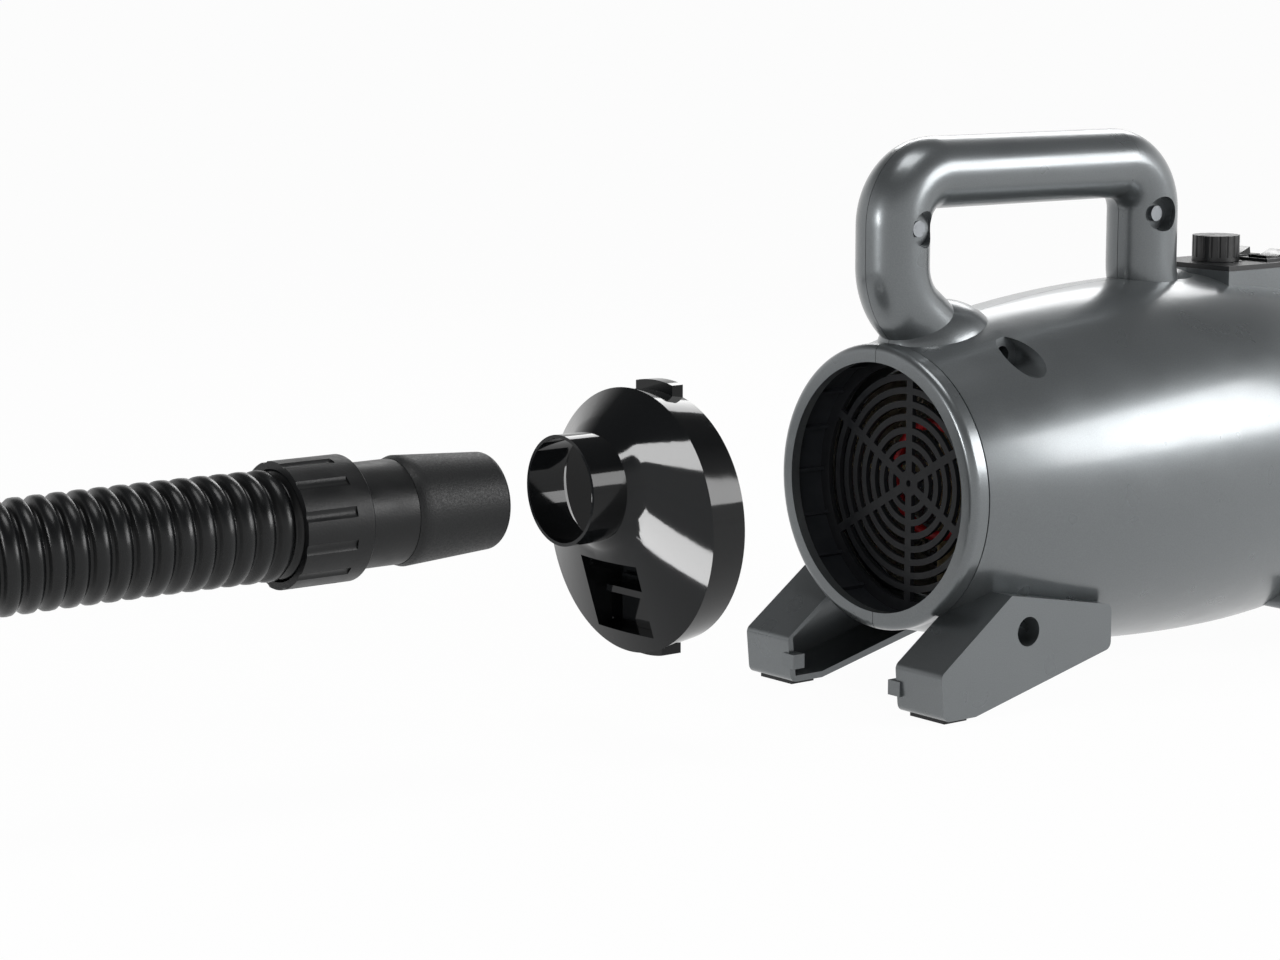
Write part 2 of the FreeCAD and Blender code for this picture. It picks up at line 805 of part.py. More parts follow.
def heater():
    """A steel duct with crossed mica boards that carry the wound element."""
    start = MOUTH + size("duct_start")
    bore = size("duct_r") - size("duct_wall")
    node("heater_duct", ring("heater_duct", start, size("duct_length"), size("duct_r"), bore))
    thick = size("board_thick")
    board = MOUTH + size("board_start")
    long = size("board_length")
    half = size("board_r")
    ear = bore - 0.2
    tab = size("ear_length")
    slot = thick + 0.2
    ends = (("front", board), ("rear", board + long - tab))
    upright = [block("upright_plate", board, long, -thick / 2, thick, AXIS - half, half * 2)]
    flat = [block("flat_plate", board, long, -half, half * 2, AXIS - thick / 2, thick)]
    for end, x in ends:
        upright.append(block("upright_ear_" + end, x, tab, -thick / 2, thick, AXIS - ear, ear * 2))
        flat.append(block("flat_ear_" + end, x, tab, -ear, ear * 2, AXIS - thick / 2, thick))
    upright_slot = block("upright_slot", board - 1.0, long / 2 + 1.0, -thick, thick * 2,
                         AXIS - slot / 2, slot)
    flat_slot = block("flat_slot", board + long / 2, long / 2 + 1.0, -slot / 2, slot, AXIS - thick, thick * 2)
    upright_whole = fused("upright_whole", upright)
    rear_cut = block("upright_rear", board + long / 2, long, -ear, ear * 2, AXIS - ear, ear * 2)
    front_cut = block("flat_front", board - long / 2, long, -ear, ear * 2, AXIS - ear, ear * 2)
    node("mica_upright", cut("mica_upright", upright_whole, common("upright_cross", upright_slot, front_cut)))
    node("mica_flat", cut("mica_flat", fused("flat_whole", flat), common("flat_cross", flat_slot, rear_cut)))
    wire = float(size("coil_wire_r"))
    radius = float(half) + wire + 0.2
    margin = float(tab + size("coil_margin") / 4)
    pitch = (float(long) - 2 * margin - 2 * wire) / SIZES["coil_turns"]
    x0 = float(board) + margin + wire
    middle = float(AXIS)
    coil = winding(radius, wire, pitch, SIZES["coil_turns"], lambda y, z, x: Vector(x0 + x, y, middle + z))
    node("heater_coil", feature("heater_coil", coil))
    leads = doc.addObject("Part::Torus", "heater_leads")
    leads.Placement = Placement(Vector(), TURN["x"])
    bind(leads, "Radius1", size("lead_ring_r"))
    bind(leads, "Radius2", size("lead_r"))
    put(leads, board - size("lead_r") - 0.2, 0.0, AXIS)
    node("heater_leads", leads)
    side = size("cutout_side")
    node("thermal_cutout", block("thermal_cutout", board + long / 4, side, thick / 2, size("cutout_thick"),
                                 AXIS + side, side))


def around(name, count, radius, long, hole_r, x, start=0.0):
    """Round holes on a circle about the air axis."""
    holes = []
    for i in range(count):
        turn = math.radians(360.0 / count * i + start)
        height = AXIS + radius * math.cos(turn)
        holes.append(rod("%s%d" % (name, i), x, long, hole_r, radius * math.sin(turn), height))
    return holes


def motor():
    """A brushed motor in a can, with its fan on the tail end of the shaft."""
    start = MOUTH + size("motor_start")
    long = size("motor_length")
    outer = size("motor_r")
    inner = outer - size("motor_wall")
    plate = size("bearing_length")
    can = fused("motor_can", [ring("can_tube", start, long, outer, inner),
                              rod("can_front", start, plate, outer),
                              rod("can_rear", start + long - plate, plate, outer)])
    vent = (inner + size("bearing_r")) / 2
    holes = around("can_vent", 6, vent, long + 2.0, vent / 3, start - 1.0)
    bore = rod("can_bore", start - 1.0, long + 2.0, size("bearing_r"))
    node("motor_housing", cut("motor_housing", can, bore, *holes))
    shaft_x = MOUTH + size("shaft_start")
    shaft_long = size("shaft_end") - size("shaft_start")
    node("motor_shaft", rod("motor_shaft", shaft_x, shaft_long, size("shaft_r")))
    race = size("shaft_r") + size("run_gap")
    node("bearing_front", ring("bearing_front", start, plate, size("bearing_r"), race))
    node("bearing_rear", ring("bearing_rear", start + long - plate, plate, size("bearing_r"), race))
    stack = MOUTH + size("stack_start")
    node("stator", ring("stator", stack, size("stack_length"), inner, size("stator_inner")))
    core = size("stator_inner") - size("rotor_gap")
    node("armature", ring("armature", stack, size("stack_length"), core, size("shaft_r")))
    contact = MOUTH + size("commutator_start")
    node("commutator", ring("commutator", contact, size("commutator_length"), size("commutator_r"),
                            size("shaft_r")))
    side = size("brush_side")
    reach = inner - size("commutator_r") - size("run_gap") - size("fit_gap")
    brush_x = contact + (size("commutator_length") - side) / 2
    brushes = []
    for turn in (90, 270):
        brushes.append(spoke("brush%d" % turn, brush_x, side, size("commutator_r") + size("run_gap"), reach,
                             side, turn))
    node("carbon_brushes", group("carbon_brushes", brushes))
    node("motor_mount", ring("motor_mount", MOUTH + size("mount_start"), size("mount_length"),
                             size("mount_r"), outer))


def fan():
    """The bracket behind the motor, the fan wheel and the case round it."""
    back = size("motor_start") + size("motor_length")
    case_start = size("case_start")
    case_r = size("case_r")
    wall = size("case_wall")
    plate = rod("bracket_plate", MOUTH + back, case_start - back, case_r)
    vent = (case_r + size("motor_r")) / 2
    vents = around("bracket_vent", 8, vent, case_start - back + 2.0, (case_r - size("motor_r")) / 2 - wall,
                   MOUTH + back - 1.0)
    eye = rod("bracket_eye", MOUTH + back - 1.0, case_start - back + 2.0, size("bearing_r"))
    node("motor_bracket", cut("motor_bracket", plate, eye, *vents))
    long = size("case_length")
    cup = rod("case_cup", MOUTH + case_start, long, case_r)
    room = rod("case_room", MOUTH + case_start - 1.0, long - wall + 1.0, case_r - wall)
    inlet = rod("case_inlet", MOUTH + case_start, long + 1.0, size("case_inlet"))
    node("fan_case", cut("fan_case", cup, room, inlet))
    node("fan_case_ring", ring("fan_case_ring", MOUTH + size("case_ring_start"), size("case_ring_length"),
                               size("case_ring_r"), case_r))
    start = MOUTH + size("wheel_start")
    wide = size("wheel_width")
    disc = size("wheel_plate")
    hub = size("nut_r") + 1.0
    pieces = [rod("wheel_back", start, disc, size("wheel_r")), rod("wheel_hub", start, wide + disc, hub),
              ring("wheel_shroud", start + wide - disc, disc, size("wheel_r"), size("case_inlet"))]
    count = int(SIZES["blades"])
    for i in range(count):
        pieces.append(spoke("blade%d" % i, start + disc / 2, wide - disc, hub - 1.0, size("wheel_r") - hub,
                            size("blade_thick"), 360.0 / count * i))
    bore = rod("wheel_bore", start - 1.0, wide + 4.0, size("shaft_r"))
    node("impeller", cut("impeller", fused("wheel_web", pieces), bore))
    hexagon = doc.addObject("Part::Prism", "nut_form")
    hexagon.Polygon = 6
    hexagon.Placement = Placement(Vector(), TURN["x"])
    bind(hexagon, "Circumradius", size("nut_r"))
    bind(hexagon, "Height", size("nut_high"))
    put(hexagon, start + wide + disc, 0.0, AXIS)
    thread = rod("nut_bore", start + wide, size("nut_high") * 2, size("shaft_r"))
    node("impeller_nut", cut("impeller_nut", hexagon, thread))


def intake():
    """A fixed guard, and a slotted cap with its foam that pulls off the tail."""
    grille("intake_guard", MOUTH + size("guard_place"), size("guard_thick"), size("intake_r") + 4.0,
           size("intake_r") - 4.0, 5, size("bar_width"), size("hub_r"), size("hub_hole"),
           int(SIZES["spokes"]), size("spoke_width"))
    tail = MOUTH + size("tail_end")
    wall = size("cap_wall")
    rim = size("cap_thick") - wall
    collar_r = size("intake_r") - size("fit_gap")
    bore = collar_r - wall
    pieces = [ring("cap_rim", tail, rim + wall / 2, size("cap_r"), size("cap_r") - wall),
              rod("cap_plate", tail + rim, wall, size("cap_r")),
              ring("cap_collar", tail - size("cap_collar"), size("cap_collar") + rim + wall / 2,
                   collar_r, bore)]
    count = int(SIZES["cap_slots"])
    high = size("slot_high")
    field = bore - wall
    step = field * 2 / count
    slots = []
    for i in range(count):
        low = AXIS + step * (i - (count - 1) / 2) - high / 2
        slots.append(block("cap_slot%d" % i, tail, size("cap_thick") * 2, -field, field * 2, low, high))
    slots = common("cap_slots", fused("cap_slot_bars", slots),
                   rod("cap_field", tail, size("cap_thick") * 2, field))
    node("intake_cap", cut("intake_cap", fused("cap_form", pieces), slots))
    gap = size("fit_gap")
    thick = size("foam_thick")
    node("filter_foam", rod("filter_foam", tail - thick + rim - gap, thick, bore - gap))


def switch(name, side, tilt):
    """A rocker in its frame, at rest tilted to off."""
    centre = MOUTH + size("rocker_place")
    across = size("rocker_side") * side
    long = size("rocker_half_x")
    wide = size("rocker_half_y")
    top = POD_TOP + size("panel_thick")
    room = size("fit_gap") * 2
    lip = size("switch_lip")
    low = POD_FLOOR + size("board_high")
    hold_x = long + room + lip
    hold_y = wide + room / 2 + lip
    flange = block(name + "_flange", centre - hold_x - lip, (hold_x + lip) * 2, across - hold_y - lip,
                   (hold_y + lip) * 2, top, lip)
    holder = block(name + "_holder", centre - hold_x, hold_x * 2, across - hold_y, hold_y * 2, low,
                   top - low + lip / 2)
    well = block(name + "_well", centre - long - room, (long + room) * 2, across - wide - room / 2,
                 (wide + room / 2) * 2, top - size("rocker_high") * 2, size("rocker_high") * 3)
    pin_r = size("rocker_pin_r")
    bearing = rod(name + "_pin_hole", centre, hold_y * 2, pin_r + size("run_gap"), across - hold_y, top, "y")
    node(name + "_switch", cut(name + "_switch", fused(name + "_frame", [flange, holder]), well, bearing))
    pin_y = hold_y - size("fit_gap")
    pin = rod(name + "_pin", centre, pin_y * 2, pin_r, across - pin_y, top, "y")
    high = size("rocker_high")
    dip = high / 2
    rocker = slab(name + "_rocker_form",
                  [(-long, -high), (long, -high), (long, high), (0.0, dip), (-long, high)],
                  0.0, 0.0, wide * 2, 0.0)
    rocker.Placement = Placement(Vector(), Rotation(Vector(0, 1, 0), tilt))
    put(rocker, centre, across - wide, top)
    node(name + "_rocker", fused(name + "_rocker", [rocker, pin]))
    return block(name + "_opening", centre - hold_x - 0.2, (hold_x + 0.2) * 2, across - hold_y - 0.2,
                 (hold_y + 0.2) * 2, top - size("panel_thick") - 1.0, size("panel_thick") + 2.0)


def controls():
    """The panel on the pod with its knob, two switches and the board below."""
    half = size("pod_half") - 1.0
    start = MOUTH + size("pod_start") + 1.0
    base = POD_TOP
    plate = block("panel_plate", start, size("pod_length") - 2.0, -half, half * 2, base, size("panel_thick"))
    centre = MOUTH + size("knob_place")
    neck = size("stem_r") + size("liner_wall")
    stem_hole = rod("stem_hole", centre, size("panel_thick") + 2.0, neck + 0.2, 0.0, base - 1.0, "z")
    openings = [switch("power", -1, SIZES["rocker_tilt"]), switch("heat", 1, SIZES["rocker_tilt"])]
    node("control_panel", cut("control_panel", plate, stem_hole, *openings))
    board_z = POD_FLOOR
    edge = size("pod_wall") + 1.0
    wide = size("pod_half") - edge
    node("control_board", block("control_board", MOUTH + size("pod_start") + edge,
                                size("pod_length") - edge * 2, -wide, wide * 2, board_z, size("board_high")))
    pot_z = board_z + size("board_high")
    top = base + size("panel_thick")
    pot = fused("pot_form", [rod("pot_can", centre, size("pot_high"), size("pot_r"), 0.0, pot_z, "z"),
                             rod("pot_neck", centre, top - pot_z, neck, 0.0, pot_z, "z")])
    bore = size("stem_r") + size("run_gap")
    stem_z = pot_z + size("pot_high") / 2
    pot_bore = rod("pot_bore", centre, top - stem_z + 1.0, bore, 0.0, stem_z, "z")
    node("potentiometer", cut("potentiometer", pot, pot_bore))
    knob_z = top + size("fit_gap")
    high = size("knob_high")
    stem_long = knob_z - stem_z + high / 2
    node("knob_stem", rod("knob_stem", centre, stem_long - 0.2, size("stem_r"), 0.0, stem_z + 0.2, "z"))
    knob = rod("knob_form", centre, high, size("knob_r"), 0.0, knob_z, "z")
    tools = [rod("knob_bore", centre, high / 2 + 1.0, size("stem_r"), 0.0, knob_z - 1.0, "z")]
    count = int(SIZES["knob_grips"])
    for i in range(count):
        turn = 2 * math.pi / count * (i + 0.5)
        reach = size("knob_r") + size("stem_r") / 6
        tools.append(rod("knob_grip%d" % i, centre + reach * math.cos(turn), high, size("stem_r") / 3,
                         reach * math.sin(turn), knob_z + 2.0, "z"))
    tools.append(block("knob_pointer", centre - size("knob_r") - 1.0, size("knob_r"), -0.6, 1.2,
                       knob_z + high - 0.8, 2.0))
    node("speed_knob", cut("speed_knob", knob, *tools))


def gland():
    """The inlet for the supply cord, on the far flank of the tail."""
    place = MOUTH + size("gland_place")
    height = AXIS - size("gland_drop")
    radius = size("gland_r")
    end = size("barrel_r") - size("gland_sink")
    neck = size("barrel_r") - size("gland_deep")
    flange = size("barrel_r") - size("flange_sink")
    body = [rod("gland_neck", place, end - neck - 6.0, radius, neck, height, "y"),
            rod("gland_flange", place, 3.0, size("flange_r"), flange, height, "y"),
            rod("gland_nose", place, end - flange, radius - 2.0, flange, height, "y")]
    hole = rod("gland_bore", place, end, size("gland_hole"), neck - 1.0, height, "y")
    node("cord_gland", cut("cord_gland", fused("gland_form", body), hole))


def circle_at(name, x, radius, z):
    """A circle across the air axis, as a section of a loft."""
    thing = doc.addObject("Part::Circle", name)
    thing.Placement = Placement(Vector(), TURN["x"])
    bind(thing, "Radius", radius)
    return put(thing, x, 0.0, z)


def cover_form(name, thin, shift):
    """The cover's skirt, slanted cone and spigot, as one filled form."""
    rim = size("cover_r") - thin
    base = size("cone_end_r") - thin
    tube = size("spigot_r") if name == "cover_skin" else size("spigot_bore")
    front = COVER - size("cone_depth") + shift
    cone = doc.addObject("Part::Loft", name + "_cone")
    cone.Sections = [circle_at(name + "_rim", COVER + shift, rim, AXIS),
                     circle_at(name + "_base", front, base, SPIGOT_AXIS)]
    cone.Solid = True
    cone.Ruled = True
    skirt = taper(name + "_skirt", COVER + shift, size("skirt_depth") - shift, rim,
                  size("skirt_end_r") - thin)
    flare = taper(name + "_flare", front - size("flare_depth"), size("flare_depth"), tube, base, SPIGOT_AXIS)
    reach = size("spigot_reach") - size("cone_depth") + shift
    spigot = rod(name + "_spigot", COVER - size("spigot_reach"), reach, tube, 0.0, SPIGOT_AXIS)
    return fused(name, [cone, skirt, flare, spigot])


def cover():
    """The front cover with its fixed hook, its latch and the latch's spring."""
    wall = size("cover_wall")
    skin = cover_form("cover_skin", Size(0, "0"), Size(0, "0"))
    room = cover_form("cover_room", wall, wall / 2)
    through = rod("cover_through", COVER - size("spigot_reach") - 1.0, size("spigot_reach"),
                  size("spigot_bore"), 0.0, SPIGOT_AXIS)
    open_back = rod("cover_back", COVER + size("skirt_depth") - 0.5, 2.0, size("skirt_end_r") - wall)
    half = size("recess_half")
    edge = size("recess_wall")
    low = AXIS - size("recess_low")
    tall = size("recess_low") - size("recess_top")
    front = COVER - size("cone_depth")
    deep = size("recess_floor") + size("cone_depth")
    box = block("recess_box", front, deep + edge, -half - edge, (half + edge) * 2,
                low - edge, tall + edge * 2)
    well = block("recess_room", front, deep, -half, half * 2, low, tall)
    gap = size("fit_gap")
    tab = size("latch_tab_half") + gap * 2
    keel = AXIS - size("hook_r") - 1.0
    latch_x = COVER + size("recess_floor") - gap - size("latch_thick")
    skirt_end = COVER + size("skirt_depth")
    slot = block("latch_slot", latch_x - gap, skirt_end + 1.0 - latch_x + gap, -tab, tab * 2, keel,
                 low - keel + 0.5)
    hook_x = skirt_end - size("hook_length")
    hook = block("hook_block", hook_x, size("hook_length"), -size("hook_half"), size("hook_half") * 2,
                 AXIS + size("skirt_end_r") - wall, size("hook_r"))
    hook = common("cover_hook", hook, rod("hook_round", hook_x, size("hook_length"), size("hook_r")))
    room = cut("cover_air", fused("cover_air_whole", [room, through, open_back]), box)
    whole = fused("cover_whole", [cut("cover_shell", skin, room), hook])
    node("front_cover", cut("front_cover", whole, well, slot))
    plate_half = size("latch_half")
    foot = AXIS - size("latch_foot")
    thick = size("latch_thick")
    stem = AXIS - size("hook_r")
    lip_reach = size("latch_lip_reach")
    tab_half = size("latch_tab_half")
    pieces = [
        block("latch_plate", latch_x, thick, -plate_half, plate_half * 2, foot,
              size("latch_foot") - size("latch_top")),
        block("latch_lip", latch_x - lip_reach, lip_reach + thick / 2, -plate_half, plate_half * 2,
              AXIS - size("latch_lip"), thick),
        block("latch_stem", latch_x, thick, -tab_half, tab_half * 2, stem, foot - stem + 1.0),
        block("latch_tab", latch_x, skirt_end - latch_x - 0.5, -tab_half, tab_half * 2, stem,
              size("latch_tab_high")),
    ]
    latch = common("latch_round", fused("latch_form", pieces),
                   rod("latch_limit", latch_x - lip_reach, size("cover_pull"), size("hook_r")))
    node("release_latch", latch)
    bottom = float(AXIS - size("latch_top")) + 0.1
    top = float(AXIS - size("recess_top")) - float(gap)
    wire = float(size("spring_wire"))
    pitch = (top - bottom - 2 * wire) / SIZES["spring_turns"]
    middle = float(latch_x + thick / 2)
    coil = winding(float(size("spring_r")), wire, pitch, SIZES["spring_turns"],
                   lambda x, y, z: Vector(middle + x, y, bottom + wire + z))
    node("latch_spring", feature("latch_spring", coil))


def hose_end():
    """The rubber cuff and its sleeve turn in the collar on the hose's end."""
    nose = size("cuff_nose_r")
    round_r = size("cuff_round")
    long = size("cuff_length")
    bore = size("cuff_bore")
    grip = size("sleeve_grip_r")
    hold = long / 2
    cuff = turned("hose_cuff", [
        (0.0, bore), (0.0, nose - round_r), (-round_r, nose, -round_r),
        (round_r - long, size("cuff_r")),
        (-long, size("cuff_r") - round_r / 3), (-long, grip), (-hold, grip), (-hold, bore)], NOSE, SPIGOT_AXIS)
    node("hose_cuff", cuff)
    start = NOSE - long
    out = size("sleeve_length")
    tail = size("sleeve_tail")
    spigot = size("sleeve_spigot")
    inner = size("sleeve_bore")
    sleeve = turned("hose_sleeve", [
        (hold, inner), (hold, grip), (0.0, grip), (0.0, size("sleeve_r")), (-out, size("sleeve_r")),
        (-out, spigot), (-out - tail, spigot), (-out - tail, inner)], start, SPIGOT_AXIS)
    node("hose_sleeve", sleeve)
    collar("hose_collar", start - out, SPIGOT_AXIS, spigot + size("run_gap"))


def collar(name, x, z, front_bore):
    """A collar with a smooth front band and grip flutes, over the hose's end."""
    back = size("collar_flange")
    long = size("collar_length")
    gap = size("fit_gap")
    radius = size("collar_r")
    form = turned(name + "_form", [
        (-gap, front_bore), (-gap, radius - size("collar_lip")), (-gap - size("collar_lip"), radius),
        (-long, radius), (-long, size("hose_r") + gap), (-back, size("hose_r") + gap), (-back, front_bore)],
        x, z)
    flutes = []
    count = int(SIZES["collar_grips"])
    for i in range(count):
        turn = 2 * math.pi / count * (i + 0.5)
        reach = radius + size("collar_grip_r") * 0.8
        flutes.append(rod("%s_flute%d" % (name, i), x - long - 1.0, long - back, size("collar_grip_r"),
                          reach * math.sin(turn), z + reach * math.cos(turn)))
    return node(name, cut(name, form, *flutes))


HOSE_ROUTE = [
    Vector(-592, 0, 120),
    Vector(-737, 145, 72),
    Vector(-737, 350, 30),
    Vector(-592, 495, 24),
    Vector(-470, 540, 28),
]


def hose_points():
    start = float(NOSE - size("cuff_length") - size("sleeve_length") - size("collar_flange")) - 0.5
    return [Vector(start, 0, float(SPIGOT_AXIS))] + HOSE_ROUTE


def ring_wire(path, place, radius):
    """A circle square to the hose's route, its own X axis kept steady."""
    point, ahead = path(place)
    side = Vector(0, 0, 1).cross(ahead).normalize()
    circle = Part.Circle(point, ahead, radius)
    circle.XAxis = side
    return Part.Wire([circle.toShape()])


def along(wire):
    """A function that gives the point and direction at a distance along a wire."""
    edges = wire.OrderedEdges
    marks = [0.0]
    for edge in edges:
        marks.append(marks[-1] + edge.Length)

    def place(distance):
        i = 0
        while i < len(edges) - 1 and distance > marks[i + 1]:
            i += 1
        edge = edges[i]
        forward = edge.Orientation == "Forward"
        step = distance - marks[i] if forward else marks[i + 1] - distance
        step = min(max(step, 0.0), edge.Length)
        at = edge.getParameterByLength(step)
        ahead = edge.tangentAt(at)
        return edge.valueAt(at), ahead if forward else ahead * -1

    return place


def hose():
    """A ribbed hose with its bore, from the collar to the nozzle's collar."""
    wire, radii = rounded_path(hose_points(), 0.49)
    length = wire.Length
    crest = float(size("hose_r"))
    root = float(size("hose_root_r"))
    bore = float(size("hose_bore"))
    end = crest * 2
    ribs = int((length - 2 * end) / float(size("hose_pitch")))
    pitch = (length - 2 * end) / ribs
    path = along(wire)
    shares = ((0.0, root), (0.25, crest), (0.6, crest), (0.85, root))
    places = [(0.0, root)]
    for i in range(ribs):
        places += [(end + pitch * (i + share), radius) for share, radius in shares]
    places += [(end + pitch * ribs, root), (length, root)]
    outside = Part.makeLoft([ring_wire(path, s, r) for s, r in places], False, True)
    marks = [0.0] + [end + pitch * i for i in range(ribs + 1)] + [length]
    inside = Part.makeLoft([ring_wire(path, s, bore) for s in marks], False, True)
    caps = []
    for s in (0.0, length):
        point, ahead = path(s)
        disc = Part.Face(ring_wire(path, s, root))
        hole = Part.Face(ring_wire(path, s, bore))
        caps.append(disc.cut(hole).Faces[0])
    shell = Part.makeShell(outside.Faces + inside.Faces + caps)
    shell.sewShape()
    solid = Part.makeSolid(Part.Shell(shell.Faces))
    if solid.Volume < 0:
        solid.reverse()
    section = math.pi * (((crest + root) / 2) ** 2 - bore ** 2)
    print("hose: length %.1f mm, %d ribs, radii %s" % (length, ribs, [round(r) for r in radii]))
    print("hose: volume %.0f, section times length %.0f mm3" % (solid.Volume, section * length))
    node("hose", feature("hose", solid))
    return path(length)


def nozzle(point, ahead):
    """The far end: a second collar, a plain grip tube and a tapered nozzle, laid on the floor."""
    origin = Size(0, "0")
    grip_r = size("grip_tube_r")
    gap = size("fit_gap")
    wall = size("nozzle_wall")
    long = size("grip_tube_length")
    held = size("collar_flange")
    start = long - held * 2
    tail = collar("hose_tail_collar", origin, origin, grip_r + size("run_gap"))
    inner = grip_r - wall
    grip = turned("nozzle_grip", [(-held, inner), (-held, grip_r), (long, grip_r), (long, inner)],
                  origin, origin)
    outer = size("nozzle_r")
    tip = size("nozzle_tip_r")
    bore = grip_r + gap
    end = start + size("nozzle_length")
    cone = turned("nozzle", [
        (start, bore), (start, outer), (long + held, outer), (end, tip), (end, tip - wall),
        (long + held, bore), (long + gap, bore)], origin, origin)
    turn = Rotation(Vector(1, 0, 0), ahead)
    place = point + ahead * (float(held) + 0.5)
    for name, thing in (("hose_tail_collar", tail), ("nozzle_grip", grip), ("nozzle", cone)):
        for path in ("x", "y", "z"):
            thing.setExpression("Placement.Base." + path, None)
        thing.Placement = Placement(place, turn)
        node(name, thing)


casing()
casing_fittings()
outlet()
heater()
motor()
fan()
intake()
controls()
gland()
cover()
hose_end()
end_point, end_way = hose()
nozzle(end_point, end_way)
doc.recompute()

for thing in doc.Objects:
    if "Invalid" in thing.State or "Error" in thing.State:
        raise RuntimeError("%s failed: %s" % (thing.Label, thing.State))
for name, thing in NODES.items():
    if thing.Shape.isNull() or not thing.Shape.isValid() or not thing.Shape.Solids:
        raise RuntimeError("%s has no valid solid" % name)

os.makedirs("parts", exist_ok=True)
for name, thing in NODES.items():
    thing.Shape.exportStep(os.path.join("parts", name + ".step"))
print("%d sub-parts written" % len(NODES))
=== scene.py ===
"""A pet grooming blower with its front cover and hose pulled off in line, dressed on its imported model.

Every size is in metres. X runs along the air axis from the hose to the casing's tail, Y goes across and Z up.
"""
import json
import math

import bmesh
import bpy
from mathutils import Matrix, Vector


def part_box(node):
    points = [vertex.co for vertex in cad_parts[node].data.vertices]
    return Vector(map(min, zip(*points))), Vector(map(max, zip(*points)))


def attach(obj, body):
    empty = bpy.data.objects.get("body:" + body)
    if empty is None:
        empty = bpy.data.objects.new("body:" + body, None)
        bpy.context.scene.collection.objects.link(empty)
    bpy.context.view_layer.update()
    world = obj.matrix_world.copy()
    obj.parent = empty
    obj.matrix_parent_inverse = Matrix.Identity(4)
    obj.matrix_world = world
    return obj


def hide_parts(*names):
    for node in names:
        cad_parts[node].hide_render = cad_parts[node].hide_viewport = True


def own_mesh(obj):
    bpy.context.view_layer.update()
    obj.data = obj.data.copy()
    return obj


bl_info = {
    "name": "Pet Dryer",
    "version": (1, 0, 0),
    "blender": (4, 5, 0),
    "location": "3D View > Sidebar > Pet Dryer",
    "description": "Dresses the packed pet dryer with its hose, its finishes and a plain studio",
    "category": "Object",
}

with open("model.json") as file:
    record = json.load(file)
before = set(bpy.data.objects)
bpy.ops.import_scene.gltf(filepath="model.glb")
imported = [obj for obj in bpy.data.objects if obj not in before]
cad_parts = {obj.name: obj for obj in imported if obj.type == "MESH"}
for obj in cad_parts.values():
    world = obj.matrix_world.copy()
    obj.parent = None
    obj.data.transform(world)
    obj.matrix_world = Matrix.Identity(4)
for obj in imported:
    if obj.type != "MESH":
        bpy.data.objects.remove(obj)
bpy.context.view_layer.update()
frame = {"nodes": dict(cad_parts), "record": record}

MM = 0.001
AXIS_Z = 0.100
MOUTH_X = -0.0825
SPIGOT_Z = 0.117

# The hose's way: straight out of its collar, down to the floor and round to the nozzle.
HOSE_ROUTE = (
    (-0.387, 0.0, SPIGOT_Z),
    (-0.592, 0.0, 0.120),
    (-0.737, 0.145, 0.072),
    (-0.737, 0.350, 0.030),
    (-0.592, 0.495, 0.024),
    (-0.470, 0.540, 0.028),
)


def linear(hex_colour):
    """An sRGB hex colour as linear RGBA."""
    channels = []
    for place in (1, 3, 5):
        shade = int(hex_colour[place:place + 2], 16) / 255
        channels.append(shade / 12.92 if shade <= 0.04045 else ((shade + 0.055) / 1.055) ** 2.4)
    return (*channels, 1.0)


# Sizes and colours that a user would change


class HoseSizes(bpy.types.PropertyGroup):
    """The ribbed hose."""
    crest_radius: bpy.props.FloatProperty(name="Crest radius", description="Half the hose's outer diameter",
                                          default=0.023, unit="LENGTH")
    root_radius: bpy.props.FloatProperty(name="Root radius", description="Radius between two ribs",
                                         default=0.0203, unit="LENGTH")
    bore_radius: bpy.props.FloatProperty(name="Bore radius", description="Radius of the smooth inside",
                                         default=0.0194, unit="LENGTH")
    rib_pitch: bpy.props.FloatProperty(name="Rib pitch", description="Distance from rib to rib",
                                       default=0.0087, unit="LENGTH")


class Colours(bpy.types.PropertyGroup):
    """The main colours."""
    shell: bpy.props.FloatVectorProperty(name="Casing", description="Metallic grey of the casing", size=4,
                                         subtype="COLOR", default=linear("#6A6E70"))
    cover: bpy.props.FloatVectorProperty(name="Cover", description="Black of the front cover", size=4,
                                         subtype="COLOR", default=linear("#0D0E0F"))
    hose: bpy.props.FloatVectorProperty(name="Hose", description="Black of the hose and its fittings", size=4,
                                        subtype="COLOR", default=linear("#121314"))
    lead: bpy.props.FloatVectorProperty(name="Leads", description="Red of the heater's leads", size=4,
                                        subtype="COLOR", default=linear("#B3121A"))


class StageSizes(bpy.types.PropertyGroup):
    """The camera and the light."""
    azimuth: bpy.props.FloatProperty(name="Azimuth", description="Camera's heading from +Y", subtype="ANGLE",
                                     default=math.radians(-38))
    pitch: bpy.props.FloatProperty(name="Pitch", description="How far the camera looks down", subtype="ANGLE",
                                   default=math.radians(9))
    focal_length: bpy.props.FloatProperty(name="Focal length", description="Lens in millimetres",
                                          default=90.0)
    distance: bpy.props.FloatProperty(name="Distance", description="From the camera to the outlet's mouth",
                                      default=1.511, unit="LENGTH")
    world_light: bpy.props.FloatProperty(name="World light", description="Strength of the even light",
                                         default=0.45)
    backdrop_white: bpy.props.FloatProperty(name="White floor", description="How white the floor looks",
                                            default=0.97, min=0, max=1)


# Small helpers


def add_node(tree, kind, values=None, links=None, **settings):
    """Adds one shader node with its settings, its sockets' values and its incoming links."""
    made = tree.nodes.new(kind)
    for setting, value in settings.items():
        setattr(made, setting, value)
    for socket, value in (values or {}).items():
        made.inputs[socket].default_value = value
    for socket, source in (links or {}).items():
        tree.links.new(source, made.inputs[socket])
    return made


